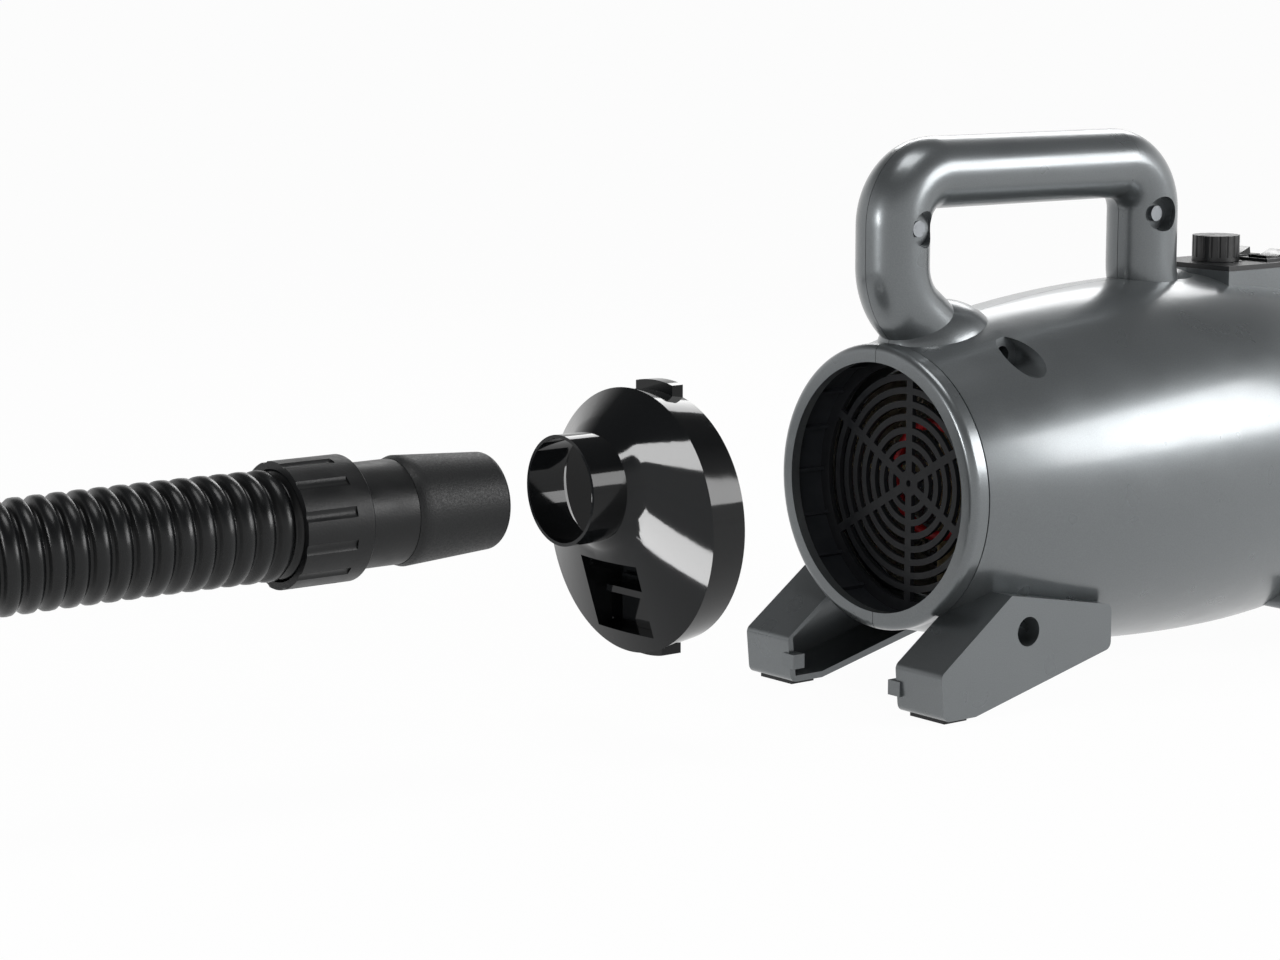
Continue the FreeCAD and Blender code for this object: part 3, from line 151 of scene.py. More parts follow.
def start_finish(name, colour, roughness, metallic=0.0, ior=1.5, **sockets):
    """A named material with one Principled shader, and the tree to add its detail to."""
    material = bpy.data.materials.new(name)
    material.use_nodes = True
    tree = material.node_tree
    tree.nodes.clear()
    values = {"Base Color": colour, "Roughness": roughness, "Metallic": metallic, "IOR": ior}
    values.update({socket.replace("_", " "): value for socket, value in sockets.items()})
    shader = add_node(tree, "ShaderNodeBsdfPrincipled", values)
    add_node(tree, "ShaderNodeOutputMaterial", links={"Surface": shader.outputs[0]})
    return material, tree, shader


def pattern(tree, size, detail=2.0, stretch=(1, 1, 1)):
    """Noise whose grains are about this size in metres, drawn out along the axes by stretch."""
    place = add_node(tree, "ShaderNodeTexCoord")
    scaled = add_node(tree, "ShaderNodeMapping", {"Scale": [1 / s for s in stretch]},
                      {"Vector": place.outputs["Object"]})
    return add_node(tree, "ShaderNodeTexNoise", {"Scale": 1 / size, "Detail": detail},
                    {"Vector": scaled.outputs[0]}).outputs["Fac"]


def add_bump(tree, shader, height, depth, strength=1.0):
    """Raises the surface by a pattern, depth metres from its lowest to its highest."""
    below = shader.inputs["Normal"].links
    links = {"Height": height}
    if below:
        links["Normal"] = below[0].from_socket
    bump = add_node(tree, "ShaderNodeBump", {"Strength": strength, "Distance": depth}, links)
    tree.links.new(bump.outputs[0], shader.inputs["Normal"])


def vary(tree, shader, socket, source, low, high):
    """Lets a pattern move one of the shader's plain numbers between two values."""
    limits = {"From Min": 0.3, "From Max": 0.7, "To Min": low, "To Max": high}
    spread = add_node(tree, "ShaderNodeMapRange", limits, {"Value": source})
    tree.links.new(spread.outputs[0], shader.inputs[socket])


def vary_colour(tree, shader, source, first, second, low=0.3, high=0.7):
    """Lets a pattern blend the surface's colour between two colours."""
    ramp = add_node(tree, "ShaderNodeValToRGB", links={"Fac": source})
    ramp.color_ramp.elements[0].position = low
    ramp.color_ramp.elements[1].position = high
    ramp.color_ramp.elements[0].color = first
    ramp.color_ramp.elements[1].color = second
    tree.links.new(ramp.outputs[0], shader.inputs["Base Color"])


def shade(colour, factor):
    """The same colour, lighter or darker."""
    return (*[min(1.0, part * factor) for part in colour[:3]], 1.0)


# Materials


def silver_abs():
    """Injection-moulded ABS with aluminium flake: a grey metallic sheen under a skin that mirrors softly."""
    colour = tuple(bpy.context.scene.dryer_colours.shell)
    material, tree, shader = start_finish("silver_abs_moulded", colour, 0.3, metallic=0.6, ior=1.5,
                                          Coat_Weight=0.4, Coat_Roughness=0.14)
    flakes = pattern(tree, 0.6 * MM, detail=1.0)
    vary_colour(tree, shader, flakes, shade(colour, 0.94), shade(colour, 1.06))
    vary(tree, shader, "Roughness", pattern(tree, 22 * MM), 0.27, 0.33)
    add_bump(tree, shader, pattern(tree, 30 * MM), 0.00006)
    return material


def black_abs():
    """ABS from a polished mould: near black, and as glossy as lacquer."""
    colour = tuple(bpy.context.scene.dryer_colours.cover)
    material, tree, shader = start_finish("black_abs_polished", colour, 0.07, ior=1.5,
                                          Specular_IOR_Level=0.22)
    vary(tree, shader, "Roughness", pattern(tree, 30 * MM), 0.05, 0.09)
    add_bump(tree, shader, pattern(tree, 14 * MM), 0.00003)
    return material


def hose_eva():
    """Extruded EVA hose: satin black with a slightly waxy sheen and some dust in random patches."""
    colour = tuple(bpy.context.scene.dryer_colours.hose)
    material, tree, shader = start_finish("hose_eva_extruded", colour, 0.3, ior=1.48, Specular_IOR_Level=0.3)
    vary(tree, shader, "Roughness", pattern(tree, 9 * MM), 0.24, 0.36)
    vary_colour(tree, shader, pattern(tree, 16 * MM), shade(colour, 0.8), shade(colour, 1.35))
    add_bump(tree, shader, pattern(tree, 2.5 * MM), 0.00005)
    return material


def cuff_rubber():
    """Moulded soft PVC rubber: matt black, with a fine spark-eroded grain that scatters the light."""
    colour = shade(tuple(bpy.context.scene.dryer_colours.hose), 1.15)
    material, tree, shader = start_finish("cuff_rubber_moulded", colour, 0.5, ior=1.5, Specular_IOR_Level=0.3)
    grain = pattern(tree, 0.9 * MM, detail=3.0)
    vary(tree, shader, "Roughness", grain, 0.42, 0.6)
    add_bump(tree, shader, grain, 0.00009)
    return material


def fitting_polypropylene():
    """Moulded polypropylene: satin black with a light grain."""
    colour = shade(tuple(bpy.context.scene.dryer_colours.hose), 0.95)
    material, tree, shader = start_finish("fitting_polypropylene", colour, 0.4, ior=1.49,
                                          Specular_IOR_Level=0.3)
    grain = pattern(tree, 1.1 * MM)
    vary(tree, shader, "Roughness", pattern(tree, 12 * MM), 0.34, 0.46)
    add_bump(tree, shader, grain, 0.00005)
    return material


def nozzle_polypropylene():
    """The same polypropylene from a polished mould: a closer sheen."""
    material, tree, shader = start_finish("nozzle_polypropylene", linear("#141516"), 0.26, ior=1.49,
                                          Specular_IOR_Level=0.3)
    vary(tree, shader, "Roughness", pattern(tree, 15 * MM), 0.2, 0.3)
    return material


def liner_nylon():
    """Glass-filled nylon: heatproof, dull black, with faint flow marks."""
    material, tree, shader = start_finish("liner_nylon_glass_filled", linear("#15171A"), 0.45, ior=1.53,
                                          Specular_IOR_Level=0.3)
    vary(tree, shader, "Roughness", pattern(tree, 6 * MM), 0.38, 0.55)
    add_bump(tree, shader, pattern(tree, 0.8 * MM), 0.00004)
    return material


def grille_nylon():
    """Heatproof nylon in dark grey, satin from the mould."""
    material, tree, shader = start_finish("grille_nylon", linear("#101113"), 0.46, ior=1.53,
                                          Specular_IOR_Level=0.2)
    vary(tree, shader, "Roughness", pattern(tree, 5 * MM), 0.34, 0.5)
    return material


def duct_sheet():
    """Rolled galvanised sheet: bright zinc with its spangle."""
    material, tree, shader = start_finish("duct_galvanised_sheet", linear("#B9BCBE"), 0.3, metallic=1.0)
    spangle = pattern(tree, 7 * MM, detail=0.5)
    vary_colour(tree, shader, spangle, linear("#A9ACAE"), linear("#C8CBCD"))
    vary(tree, shader, "Roughness", spangle, 0.22, 0.42)
    return material


def mica_sheet():
    """Pressed mica: pale brown flakes in resin, some of them glinting."""
    material, tree, shader = start_finish("mica_pressed_sheet", linear("#C8B98F"), 0.4, ior=1.56)
    flakes = pattern(tree, 3 * MM, detail=4.0)
    vary_colour(tree, shader, flakes, linear("#A8966B"), linear("#DCCFAA"))
    vary(tree, shader, "Roughness", flakes, 0.2, 0.6)
    return material


def resistance_wire():
    """Nickel-chrome wire, browned by heat."""
    material, tree, shader = start_finish("resistance_wire_nichrome", linear("#8E8478"), 0.42, metallic=1.0)
    vary_colour(tree, shader, pattern(tree, 20 * MM), linear("#6F655B"), linear("#A39B90"))
    return material


def silicone_sleeving():
    """Silicone sleeving: saturated red, soft sheen."""
    colour = tuple(bpy.context.scene.dryer_colours.lead)
    material, tree, shader = start_finish("silicone_sleeving", colour, 0.38, ior=1.43)
    vary(tree, shader, "Roughness", pattern(tree, 5 * MM), 0.3, 0.46)
    return material


def plated_steel():
    """Drawn steel with bright zinc plating: a cool metal with fine drawing marks."""
    material, tree, shader = start_finish("steel_zinc_plated", linear("#B4B7BA"), 0.28, metallic=1.0)
    marks = pattern(tree, 0.8 * MM, stretch=(12, 1, 1))
    vary(tree, shader, "Roughness", marks, 0.2, 0.38)
    return material


def lamination_steel():
    """Stacked electrical sheets: dark edges, 0.5 mm each, drawn 1 mm apart so that they show."""
    material, tree, shader = start_finish("lamination_stack", linear("#5D6064"), 0.45, metallic=1.0)
    place = add_node(tree, "ShaderNodeTexCoord")
    sheets = add_node(tree, "ShaderNodeTexWave", {"Scale": 1 / (1 * MM * math.tau) * math.pi / 10},
                      {"Vector": place.outputs["Object"]}, bands_direction="X")
    vary_colour(tree, shader, sheets.outputs["Fac"], linear("#3F4246"), linear("#777B80"))
    add_bump(tree, shader, sheets.outputs["Fac"], 0.0001)
    return material


def commutator_copper():
    """Drawn copper, turned bright where the brushes run."""
    material, tree, shader = start_finish("commutator_copper", linear("#B8733F"), 0.3, metallic=1.0)
    vary(tree, shader, "Roughness", pattern(tree, 1 * MM, stretch=(1, 8, 8)), 0.2, 0.45)
    return material


def carbon_block():
    """Pressed carbon: soft black with a dull glint."""
    material, tree, shader = start_finish("carbon_pressed", linear("#1C1C1D"), 0.6, ior=1.8)
    vary(tree, shader, "Roughness", pattern(tree, 0.6 * MM), 0.5, 0.75)
    return material


def mount_rubber():
    """Moulded nitrile rubber: matt black."""
    material, tree, shader = start_finish("mount_rubber_nitrile", linear("#161617"), 0.6, ior=1.52)
    add_bump(tree, shader, pattern(tree, 1 * MM), 0.00006)
    return material


def fan_nylon():
    """Glass-filled nylon, moulded: charcoal, with fibres that roughen the skin."""
    material, tree, shader = start_finish("fan_nylon_glass_filled", linear("#26282A"), 0.42, ior=1.53)
    fibres = pattern(tree, 0.7 * MM, stretch=(4, 1, 1))
    vary(tree, shader, "Roughness", fibres, 0.34, 0.55)
    add_bump(tree, shader, fibres, 0.00003)
    return material


def open_foam():
    """Open-cell polyester foam: a dark sponge with 1.5 mm pores, their pits darkened with painted shade."""
    material, tree, shader = start_finish("filter_foam_open_cell", linear("#1D1E1F"), 0.9, ior=1.4)
    place = add_node(tree, "ShaderNodeTexCoord")
    cells = add_node(tree, "ShaderNodeTexVoronoi", {"Scale": 1 / (1.5 * MM)},
                     {"Vector": place.outputs["Object"]})
    # Painted shade: the pores' pits, which the bump sinks, are painted darker and the struts between them
    # lighter, over the foam's own dark grey.
    vary_colour(tree, shader, cells.outputs["Distance"], linear("#08090A"), linear("#35373A"), 0.1, 0.6)
    add_bump(tree, shader, cells.outputs["Distance"], 0.0006)
    return material


def screw_steel():
    """Self-tapping screws with black-grey zinc."""
    material, tree, shader = start_finish("screw_zinc_plated", linear("#7A7D80"), 0.35, metallic=1.0)
    vary(tree, shader, "Roughness", pattern(tree, 2 * MM), 0.28, 0.5)
    return material


def pad_rubber():
    """Cut rubber sheet with scuffed, dusty sides."""
    material, tree, shader = start_finish("pad_rubber_cut", linear("#18191A"), 0.7, ior=1.52)
    vary_colour(tree, shader, pattern(tree, 4 * MM), linear("#121314"), linear("#252627"))
    add_bump(tree, shader, pattern(tree, 0.8 * MM), 0.00008)
    return material


def panel_abs():
    """ABS with a textured mould: satin black."""
    material, tree, shader = start_finish("panel_abs_textured", linear("#17181A"), 0.42, ior=1.5)
    grain = pattern(tree, 0.8 * MM)
    vary(tree, shader, "Roughness", grain, 0.36, 0.5)
    add_bump(tree, shader, grain, 0.00005)
    return material


def knob_abs():
    """ABS knob: satin black, worn smoother by fingers."""
    material, tree, shader = start_finish("knob_abs", linear("#131415"), 0.36, ior=1.5)
    vary(tree, shader, "Roughness", pattern(tree, 4 * MM), 0.28, 0.42)
    return material


def rocker_nylon():
    """Nylon rocker from a polished mould."""
    material, tree, shader = start_finish("rocker_nylon", linear("#121213"), 0.2, ior=1.53)
    vary(tree, shader, "Roughness", pattern(tree, 5 * MM), 0.15, 0.28)
    return material


def board_laminate():
    """Glass-epoxy board under green solder mask, with its weave just showing."""
    material, tree, shader = start_finish("board_glass_epoxy", linear("#1F5A35"), 0.35, ior=1.55)
    vary_colour(tree, shader, pattern(tree, 2 * MM), linear("#1A4F2E"), linear("#25683E"))
    return material


FINISHES = {
    "casing": silver_abs,
    "cover": black_abs,
    "latch": black_abs,
    "hose": hose_eva,
    "hose_fitting": fitting_polypropylene,
    "cuff": cuff_rubber,
    "nozzle": nozzle_polypropylene,
    "liner": liner_nylon,
    "grille": grille_nylon,
    "duct": duct_sheet,
    "mica": mica_sheet,
    "element": resistance_wire,
    "lead": silicone_sleeving,
    "steel": plated_steel,
    "laminations": lamination_steel,
    "copper": commutator_copper,
    "carbon": carbon_block,
    "mount_rubber": mount_rubber,
    "fan": fan_nylon,
    "foam": open_foam,
    "screw": screw_steel,
    "pads": pad_rubber,
    "panel": panel_abs,
    "knob": knob_abs,
    "rocker": rocker_nylon,
    "board": board_laminate,
}
# The material that each maker has made, so that slots with the same maker share it.
MADE = {}


def finish_for(slot):
    """The finish of one of the record's material slots, made once."""
    maker = FINISHES[slot]
    made = bpy.data.materials.get(MADE.get(maker, ""))
    if made is None:
        made = maker()
        MADE[maker] = made.name
    return made


# Mesh helpers


def new_piece(name, bm, slot, body, smooth_angle=40):
    """Turns a finished bmesh into a piece that rides on a body."""
    bmesh.ops.recalc_face_normals(bm, faces=bm.faces)
    mesh = bpy.data.meshes.new(name)
    for edge in bm.edges:
        edge.smooth = len(edge.link_faces) != 2 or edge.calc_face_angle() < math.radians(smooth_angle)
    for face in bm.faces:
        face.smooth = True
    bm.to_mesh(mesh)
    bm.free()
    piece = bpy.data.objects.new(name, mesh)
    bpy.context.scene.collection.objects.link(piece)
    mesh.materials.append(finish_for(slot))
    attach(piece, body)
    return piece


def spline_points(name, route, resolution=24):
    """Points along the smooth curve that has the route as its control points."""
    curve = bpy.data.curves.new(name, "CURVE")
    curve.dimensions = "3D"
    curve.resolution_u = resolution
    spline = curve.splines.new("NURBS")
    spline.points.add(len(route) - 1)
    for point, place in zip(spline.points, route):
        point.co = (*place, 1.0)
    spline.order_u = 3
    spline.use_endpoint_u = True
    holder = bpy.data.objects.new(name, curve)
    mesh = bpy.data.meshes.new_from_object(holder)
    points = [vertex.co.copy() for vertex in mesh.vertices]
    bpy.data.meshes.remove(mesh)
    bpy.data.objects.remove(holder)
    bpy.data.curves.remove(curve)
    return points


def stations(points, places):
    """Ring frames at given distances along a line of points, without any twist between them."""
    lengths = [0.0]
    for first, second in zip(points, points[1:]):
        lengths.append(lengths[-1] + (second - first).length)
    frames = []
    side = Vector((0, 0, 1))
    leg = 0
    for place in places:
        while leg < len(points) - 2 and lengths[leg + 1] < place:
            leg += 1
        start, end = points[leg], points[leg + 1]
        share = (place - lengths[leg]) / (lengths[leg + 1] - lengths[leg])
        before = (points[leg] - points[max(leg - 1, 0)]) if leg else end - start
        after = (points[min(leg + 2, len(points) - 1)] - end) if leg + 2 < len(points) else end - start
        middle = (end - start).normalized()
        first_way = (before.normalized() + middle).normalized()
        second_way = (after.normalized() + middle).normalized()
        heading = first_way.lerp(second_way, share).normalized()
        side = (side - heading * side.dot(heading)).normalized()
        across = heading.cross(side)
        turned = Matrix((side, across, heading)).transposed().to_4x4()
        frames.append(Matrix.Translation(start.lerp(end, share)) @ turned)
    return frames


def line_length(points):
    """How long the line through the points is."""
    return sum((second - first).length for first, second in zip(points, points[1:]))


def grow_skin(bm, frames, radii, segments):
    """A skin of rings along the frames, and its first and last ring's edges."""
    ring = bmesh.ops.create_circle(bm, segments=segments, radius=radii[0])["verts"]
    bmesh.ops.transform(bm, matrix=frames[0], verts=ring)
    edges = list({edge for vertex in ring for edge in vertex.link_edges})
    first = edges
    for before, after, old, new in zip(frames, frames[1:], radii, radii[1:]):
        grown = bmesh.ops.extrude_edge_only(bm, edges=edges)["geom"]
        ring = [part for part in grown if isinstance(part, bmesh.types.BMVert)]
        edges = [part for part in grown if isinstance(part, bmesh.types.BMEdge)]
        rings = set(ring)
        edges = [edge for edge in edges if edge.verts[0] in rings and edge.verts[1] in rings]
        size = Matrix.Diagonal((new / old, new / old, 1, 1))
        bmesh.ops.transform(bm, matrix=after @ size @ before.inverted(), verts=ring)
    return first, edges


# Hose


# One rib from root to root: how far along its pitch, and how much of its height it has there.
RIB_SHAPE = ((0.0, 0.0), (0.10, 0.10), (0.17, 0.62), (0.30, 0.94), (0.50, 1.0), (0.70, 0.94), (0.83, 0.62),
             (0.90, 0.10))
HOSE_SEGMENTS = 56


def build_hose(sizes):
    """The hose as one closed skin: ribs outside, a smooth bore, and its end faces."""
    points = spline_points("hose_route", HOSE_ROUTE)
    length = line_length(points)
    ribs = round(length / sizes.rib_pitch)
    pitch = length / ribs
    depth = sizes.crest_radius - sizes.root_radius
    places = [(rib + part) * pitch for rib in range(ribs) for part, _ in RIB_SHAPE] + [length]
    radii = [sizes.root_radius + rise * depth for _ in range(ribs) for _, rise in RIB_SHAPE]
    radii.append(sizes.root_radius)
    bm = bmesh.new()
    outer = grow_skin(bm, stations(points, places), radii, HOSE_SEGMENTS)
    steps = ribs * 2
    inside = [length * step / steps for step in range(steps + 1)]
    bore = [sizes.bore_radius] * len(inside)
    inner = grow_skin(bm, stations(points, inside), bore, HOSE_SEGMENTS)
    for outer_end, inner_end in zip(outer, inner):
        bmesh.ops.bridge_loops(bm, edges=list(outer_end) + list(inner_end))
    hose = new_piece("ribbed_hose", bm, "hose", "hose_line", smooth_angle=80)
    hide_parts("hose")
    return hose, points


class DRYER_OT_hose(bpy.types.Operator):
    bl_idname = "dryer.hose"
    bl_label = "Hose"

    def execute(self, context):
        hose, points = build_hose(context.scene.dryer_hose)
        return {"FINISHED"}


# Heater and latch spring


def wound_wire(name, points, wire_radius, slot, body, sides=2):
    """A round wire through the points, as a closed mesh."""
    curve = bpy.data.curves.new(name, "CURVE")
    curve.dimensions = "3D"
    curve.bevel_depth = wire_radius
    curve.bevel_resolution = sides
    curve.use_fill_caps = True
    spline = curve.splines.new("POLY")
    spline.points.add(len(points) - 1)
    for point, place in zip(spline.points, points):
        point.co = (*place, 1.0)
    holder = bpy.data.objects.new(name, curve)
    mesh = bpy.data.meshes.new_from_object(holder)
    bpy.data.objects.remove(holder)
    bpy.data.curves.remove(curve)
    bm = bmesh.new()
    bm.from_mesh(mesh)
    bpy.data.meshes.remove(mesh)
    return new_piece(name, bm, slot, body, smooth_angle=60)


def build_heater_coil():
    """A fine coil of wire, itself wound round the crossed boards."""
    low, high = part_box("heater_coil")
    turns, coils_per_turn, steps_per_coil = 9, 90, 7
    wire_radius, coil_radius = 0.25 * MM, 0.75 * MM
    path_radius = (high[1] - low[1]) / 2 - wire_radius
    start, end = low[0] + 2 * coil_radius, high[0] - 2 * coil_radius
    steps = turns * coils_per_turn * steps_per_coil
    points = []
    for step in range(steps + 1):
        share = step / steps
        turn = share * turns * math.tau
        coil = share * turns * coils_per_turn * math.tau
        radius = path_radius + coil_radius * math.cos(coil)
        points.append((start + (end - start) * share + coil_radius * math.sin(coil), radius * math.cos(turn),
                       AXIS_Z + radius * math.sin(turn)))
    coil = wound_wire("heating_coil", points, wire_radius, "element", "casing", sides=0)
    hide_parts("heater_coil")


def build_latch_spring():
    """A pressure spring with a closed turn at each end."""
    low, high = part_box("latch_spring")
    wire_radius = 0.27 * MM
    radius = (high[0] - low[0]) / 2 - wire_radius
    middle = (low[0] + high[0]) / 2
    tall = high[2] - low[2] - 2 * wire_radius
    turns, steps_per_turn = 9, 20
    points = []
    for step in range(turns * steps_per_turn + 1):
        place = step / steps_per_turn
        share = min(max(place - 1.0, 0.0) / (turns - 2.0), 1.0)
        closed = 2 * wire_radius * (min(place, 1.0) + max(place - turns + 1.0, 0.0))
        rise = closed + share * (tall - 4 * wire_radius)
        turn = place * math.tau
        height = low[2] + wire_radius + rise
        points.append((middle + radius * math.cos(turn), radius * math.sin(turn), height))
    spring = wound_wire("latch_pressure_spring", points, wire_radius, "steel", "cover")
    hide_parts("latch_spring")
    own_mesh(spring)


class DRYER_OT_windings(bpy.types.Operator):
    """Builds the heater's coil and the latch's spring"""
    bl_idname = "dryer.windings"
    bl_label = "Coil and spring"

    def execute(self, context):
        build_heater_coil()
        build_latch_spring()
        return {"FINISHED"}


# Speed dial


def build_dial_marks():
    """Raised marks on the panel round the speed knob, with a gap where its turn ends."""
    low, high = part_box("speed_knob")
    panel_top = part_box("control_panel")[1][2]
    centre_x, centre_y = (low[0] + high[0]) / 2, (low[1] + high[1]) / 2
    inner = (high[0] - low[0]) / 2 + 1.2 * MM
    long, wide, tall = 1.6 * MM, 0.7 * MM, 0.3 * MM
    marks, first, sweep = 11, math.radians(180), math.radians(270)
    bm = bmesh.new()
    bar = bmesh.ops.create_cube(bm, size=1.0)["verts"]
    bmesh.ops.scale(bm, vec=(long, wide, tall), verts=bar)
    top = [edge for edge in bm.edges if edge.verts[0].co.z > 0 and edge.verts[1].co.z > 0]
    bmesh.ops.bevel(bm, geom=top, offset=0.12 * MM, affect="EDGES", segments=2, profile=0.5, material=-1)
    bmesh.ops.translate(bm, vec=(inner + long / 2, 0, tall / 2), verts=bm.verts)
    first_bar = bm.verts[:] + bm.edges[:] + bm.faces[:]
    for mark in range(1, marks):
        copied = bmesh.ops.duplicate(bm, geom=first_bar)["geom"]
        bmesh.ops.rotate(bm, cent=(0, 0, 0), matrix=Matrix.Rotation(sweep * mark / (marks - 1), 3, "Z"),
                         verts=[part for part in copied if isinstance(part, bmesh.types.BMVert)])
    bmesh.ops.rotate(bm, cent=(0, 0, 0), matrix=Matrix.Rotation(first, 3, "Z"), verts=bm.verts)
    bmesh.ops.translate(bm, vec=(centre_x, centre_y, panel_top), verts=bm.verts)
    new_piece("dial_marks", bm, "panel", "casing")


class DRYER_OT_dial(bpy.types.Operator):
    """Builds the marks round the speed knob"""
    bl_idname = "dryer.dial"
    bl_label = "Dial marks"

    def execute(self, context):
        build_dial_marks()
        return {"FINISHED"}


# Filter


def build_foam():
    """A disc of foam that fills the intake cap's seat, with softened rims."""
    low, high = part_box("filter_foam")
    radius = (high[1] - low[1]) / 2
    thick = high[0] - low[0]
    bm = bmesh.new()
    disc = bmesh.ops.create_cone(bm, cap_ends=True, segments=64, radius1=radius, radius2=radius, depth=thick)
    turn = Matrix.Translation(((low[0] + high[0]) / 2, 0, AXIS_Z)) @ Matrix.Rotation(math.pi / 2, 4, "Y")
    bmesh.ops.transform(bm, matrix=turn, verts=disc["verts"])
    rims = [edge for edge in bm.edges if any(len(face.verts) > 4 for face in edge.link_faces)]
    bmesh.ops.bevel(bm, geom=rims, offset=1.2 * MM, affect="EDGES", segments=3, profile=0.5, material=-1)
    foam = new_piece("foam_disc", bm, "foam", "filter_cap")
    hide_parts("filter_foam")
    return foam


class DRYER_OT_filter(bpy.types.Operator):
    """Builds the intake's foam disc"""
    bl_idname = "dryer.filter"
    bl_label = "Filter foam"

    def execute(self, context):
        build_foam()
        return {"FINISHED"}


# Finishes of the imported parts


def smooth_by_angle():
    """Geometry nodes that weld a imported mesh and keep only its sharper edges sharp."""
    group = bpy.data.node_groups.new("smooth_by_angle", "GeometryNodeTree")
    group.interface.new_socket("Geometry", in_out="INPUT", socket_type="NodeSocketGeometry")
    group.interface.new_socket("Geometry", in_out="OUTPUT", socket_type="NodeSocketGeometry")
    source = add_node(group, "NodeGroupInput")
    weld = add_node(group, "GeometryNodeMergeByDistance", {"Distance": 0.000002},
                    {"Geometry": source.outputs[0]})
    angle = add_node(group, "GeometryNodeInputMeshEdgeAngle")
    flat = add_node(group, "FunctionNodeCompare", {"B": math.radians(32)}, {"A": angle.outputs[0]},
                    operation="LESS_EQUAL")
    faces = add_node(group, "GeometryNodeSetShadeSmooth", {"Shade Smooth": True},
                     {"Geometry": weld.outputs[0]}, domain="FACE")
    edges = add_node(group, "GeometryNodeSetShadeSmooth", domain="EDGE",
                     links={"Geometry": faces.outputs[0], "Shade Smooth": flat.outputs[0]})
    add_node(group, "NodeGroupOutput", links={"Geometry": edges.outputs[0]})
    return group


class DRYER_OT_finishes(bpy.types.Operator):
    """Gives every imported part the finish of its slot"""
    bl_idname = "dryer.finishes"
    bl_label = "Finishes"

    def execute(self, context):
        smoothing = smooth_by_angle()
        for row in frame["record"]["subparts"]:
            part = frame["nodes"][row["node"]]
            part.data.materials.clear()
            part.data.materials.append(finish_for(row["material_slot"]))
            step = part.modifiers.new("smooth", "NODES")
            step.node_group = smoothing
        return {"FINISHED"}


# Stage


def white_share(tree, share):
    """How white the studio looks to the camera and in a gloss or a glass, whatever its light on things."""
    path = add_node(tree, "ShaderNodeLightPath")
    seen = path.outputs["Is Camera Ray"]
    for other in ("Is Glossy Ray", "Is Transmission Ray"):
        seen = add_node(tree, "ShaderNodeMath", links={0: seen, 1: path.outputs[other]},
                        operation="MAXIMUM").outputs[0]
    return add_node(tree, "ShaderNodeMath", {1: share}, {0: seen}, operation="MULTIPLY").outputs[0]


def build_world(strength):
    """A white sweep round the object under a dim ceiling."""
    world = bpy.data.worlds.new("studio_air")
    world.use_nodes = True
    bpy.context.scene.world = world
    tree = world.node_tree
    tree.nodes.clear()
    place = add_node(tree, "ShaderNodeTexCoord")
    height = add_node(tree, "ShaderNodeSeparateXYZ", links={0: place.outputs["Generated"]}).outputs["Z"]
    sweep = add_node(tree, "ShaderNodeValToRGB", links={"Fac": height})
    sweep.color_ramp.elements[0].position = 0.26
    sweep.color_ramp.elements[0].color = linear("#FFFFFF")
    sweep.color_ramp.elements[1].position = 0.60
    sweep.color_ramp.elements[1].color = linear("#575757")
    even = add_node(tree, "ShaderNodeBackground", {"Strength": strength}, {"Color": sweep.outputs[0]})
    white = add_node(tree, "ShaderNodeBackground", {"Strength": 1.0}, {"Color": sweep.outputs[0]})
    mixed = add_node(tree, "ShaderNodeMixShader", links={0: white_share(tree, 1.0), 1: even.outputs[0],
                                                         2: white.outputs[0]})
    add_node(tree, "ShaderNodeOutputWorld", links={"Surface": mixed.outputs[0]})


def build_floor(camera_share):
    """A sheet of white paper to the horizon, a hair below the rubber pads."""
    reach, drop = 100.0, 0.2 * MM
    bm = bmesh.new()
    bmesh.ops.create_grid(bm, x_segments=1, y_segments=1, size=reach)
    bmesh.ops.translate(bm, vec=(0, 0, -drop), verts=bm.verts)
    mesh = bpy.data.meshes.new("studio_floor")
    bm.to_mesh(mesh)
    bm.free()
    floor = bpy.data.objects.new("studio_floor", mesh)
    bpy.context.scene.collection.objects.link(floor)
    material, tree, shader = start_finish("floor_paper_white", linear("#F1F1F0"), 0.9, Specular_IOR_Level=0.1)
    glow = add_node(tree, "ShaderNodeEmission", {"Color": linear("#FFFFFF"), "Strength": 1.0})
    mixed = add_node(tree, "ShaderNodeMixShader", links={0: white_share(tree, camera_share),
                                                         1: shader.outputs[0], 2: glow.outputs[0]})
    output = next(node for node in tree.nodes if node.bl_idname == "ShaderNodeOutputMaterial")
    tree.links.new(mixed.outputs[0], output.inputs["Surface"])
    mesh.materials.append(material)


# Each lamp's name, its place and the point it shines at, its width, height and watts, its roll in degrees,
# and the only nodes that it lights, where it is flagged off from the rest.
COVER_ONLY = ("front_cover", "release_latch")
MOUTH_ONLY = ("outlet_liner", "outlet_grille")
SOFTBOXES = (
    ("cover_softbox", (-1.40, 0.12, 0.375), (-0.236, -0.035, 0.125), 0.20, 0.33, 5.2, 35, ()),
    ("upper_wedge_softbox", (-1.19, -0.17, 0.72), (-0.236, -0.04, 0.13), 0.26, 0.40, 9, 0, COVER_ONLY),
    ("lower_wedge_softbox", (-0.47, -0.012, 0.004), (-0.47, -0.0121, 0.1), 0.17, 0.10, 1.6, 0, COVER_ONLY),
    ("mouth_softbox", (-1.15, -0.75, 0.55), (-0.07, 0.04, 0.1), 0.5, 0.5, 13, 0, MOUTH_ONLY),
    ("flank_softbox", (0.80, -1.05, 0.62), (0.0, -0.09, 0.13), 0.9, 0.55, 15, 0, ()),
    ("rear_softbox", (0.95, 0.95, 0.95), (0.05, 0.0, 0.18), 1.0, 0.4, 6, 0, ()),
    ("top_softbox", (-0.2, -0.1, 1.7), (0.0, 0.0, 0.1), 0.8, 0.6, 9, 0, ()),
)


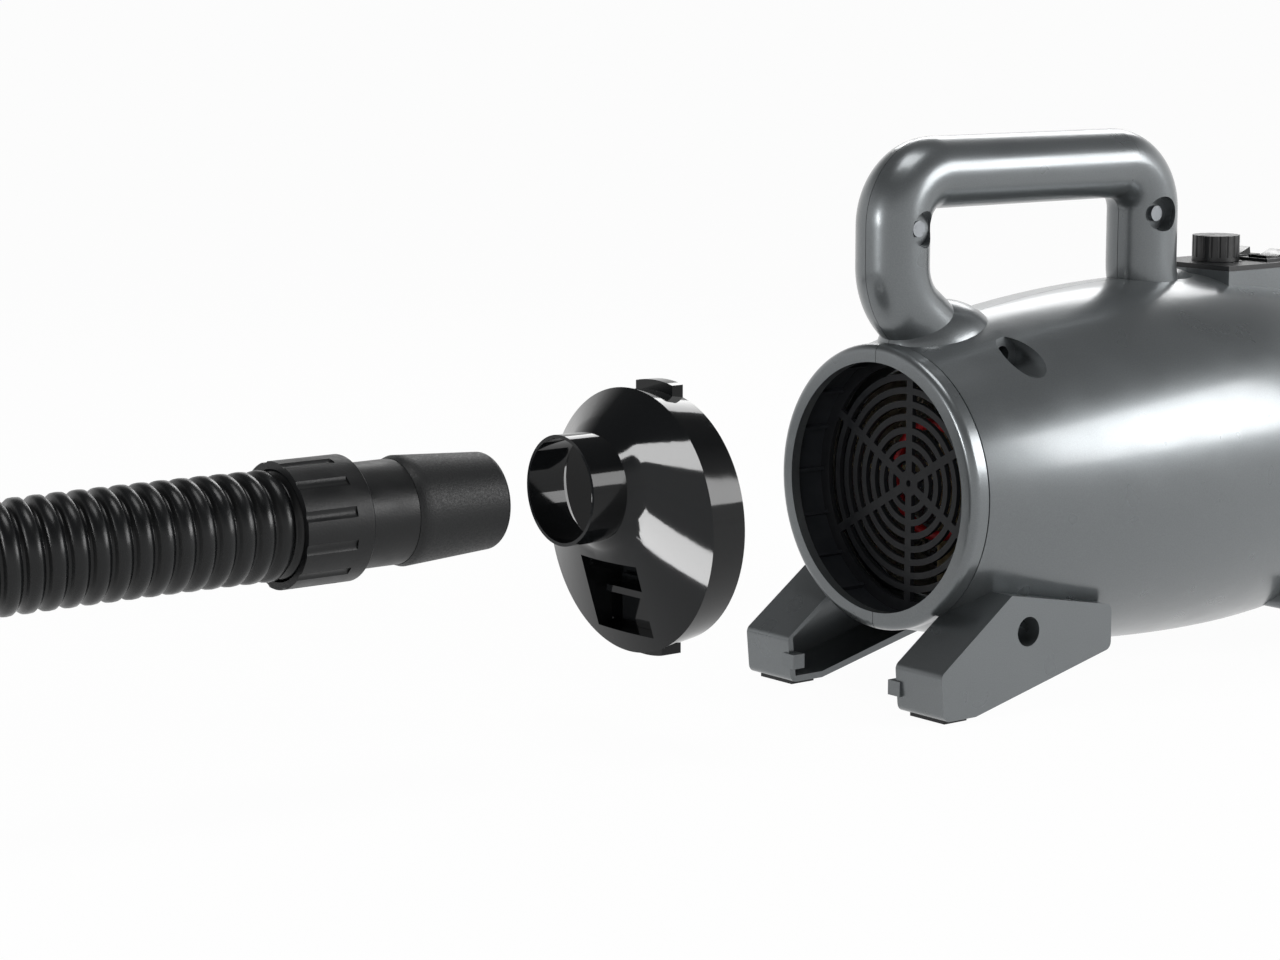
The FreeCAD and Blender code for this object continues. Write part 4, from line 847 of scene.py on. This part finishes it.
def add_softbox(name, place, aim, width, height, power, roll, only):
    """A rectangular lamp turned to shine at a point, flagged off from all nodes but those named in only."""
    lamp = bpy.data.lights.new(name, "AREA")
    lamp.shape = "RECTANGLE"
    lamp.size = width
    lamp.size_y = height
    lamp.energy = power
    holder = bpy.data.objects.new(name, lamp)
    bpy.context.scene.collection.objects.link(holder)
    facing = (Vector(aim) - Vector(place)).to_track_quat("-Z", "Y").to_matrix().to_4x4()
    holder.matrix_world = Matrix.Translation(place) @ facing @ Matrix.Rotation(roll, 4, "Z")
    if only:
        lit = bpy.data.collections.new(name + "_lights")
        for node in only:
            lit.objects.link(frame["nodes"][node])
        holder.light_linking.receiver_collection = lit
    return holder


def build_camera(sizes):
    """A long lens that shows the outlet's mouth right of the middle, as the photograph does."""
    data = bpy.data.cameras.new("studio_camera")
    data.lens = sizes.focal_length
    data.sensor_width = 36
    data.clip_end = 500
    camera = bpy.data.objects.new("studio_camera", data)
    bpy.context.scene.collection.objects.link(camera)
    turn = Matrix.Rotation(sizes.azimuth, 3, "Z") @ Matrix.Rotation(math.pi / 2 - sizes.pitch, 3, "X")
    pixel_right, pixel_down, pixels_per_focal = 234, 8, 1280 * sizes.focal_length / 36
    ray = turn @ Vector((pixel_right, -pixel_down, -pixels_per_focal)).normalized()
    mouth = Vector((MOUTH_X, 0, AXIS_Z))
    camera.matrix_world = Matrix.Translation(mouth - ray * sizes.distance) @ turn.to_4x4()
    bpy.context.scene.camera = camera


class DRYER_OT_stage(bpy.types.Operator):
    """Sets the camera, the floor and the lamps"""
    bl_idname = "dryer.stage"
    bl_label = "Stage"

    def execute(self, context):
        sizes = context.scene.dryer_stage
        build_world(sizes.world_light)
        build_floor(sizes.backdrop_white)
        build_camera(sizes)
        for name, place, aim, width, height, power, roll, only in SOFTBOXES:
            add_softbox(name, place, aim, width, height, power, math.radians(roll), only)
        context.scene.view_settings.view_transform = "Standard"
        return {"FINISHED"}


class DRYER_PT_panel(bpy.types.Panel):
    """Lists the steps that dress the dryer"""
    bl_idname = "DRYER_PT_panel"
    bl_label = "Pet Dryer"
    bl_space_type = "VIEW_3D"
    bl_region_type = "UI"
    bl_category = "Pet Dryer"

    def draw(self, context):
        for settings in (context.scene.dryer_hose, context.scene.dryer_colours, context.scene.dryer_stage):
            box = self.layout.box()
            for name in settings.bl_rna.properties.keys():
                if name not in ("rna_type", "name"):
                    box.prop(settings, name)
        for step in STEPS:
            self.layout.operator(step.bl_idname)


SETTINGS = {"dryer_hose": HoseSizes, "dryer_colours": Colours, "dryer_stage": StageSizes}
STEPS = (DRYER_OT_finishes, DRYER_OT_hose, DRYER_OT_windings, DRYER_OT_dial, DRYER_OT_filter, DRYER_OT_stage)


def register():
    for group in SETTINGS.values():
        bpy.utils.register_class(group)
    for step in (*STEPS, DRYER_PT_panel):
        bpy.utils.register_class(step)
    for name, group in SETTINGS.items():
        setattr(bpy.types.Scene, name, bpy.props.PointerProperty(type=group))


def unregister():
    for name in SETTINGS:
        delattr(bpy.types.Scene, name)
    for step in (DRYER_PT_panel, *reversed(STEPS)):
        bpy.utils.unregister_class(step)
    for group in SETTINGS.values():
        bpy.utils.unregister_class(group)


def main():
    register()
    for step in STEPS:
        group, name = step.bl_idname.split(".")
        getattr(getattr(bpy.ops, group), name)()


if __name__ == "__main__":
    main()
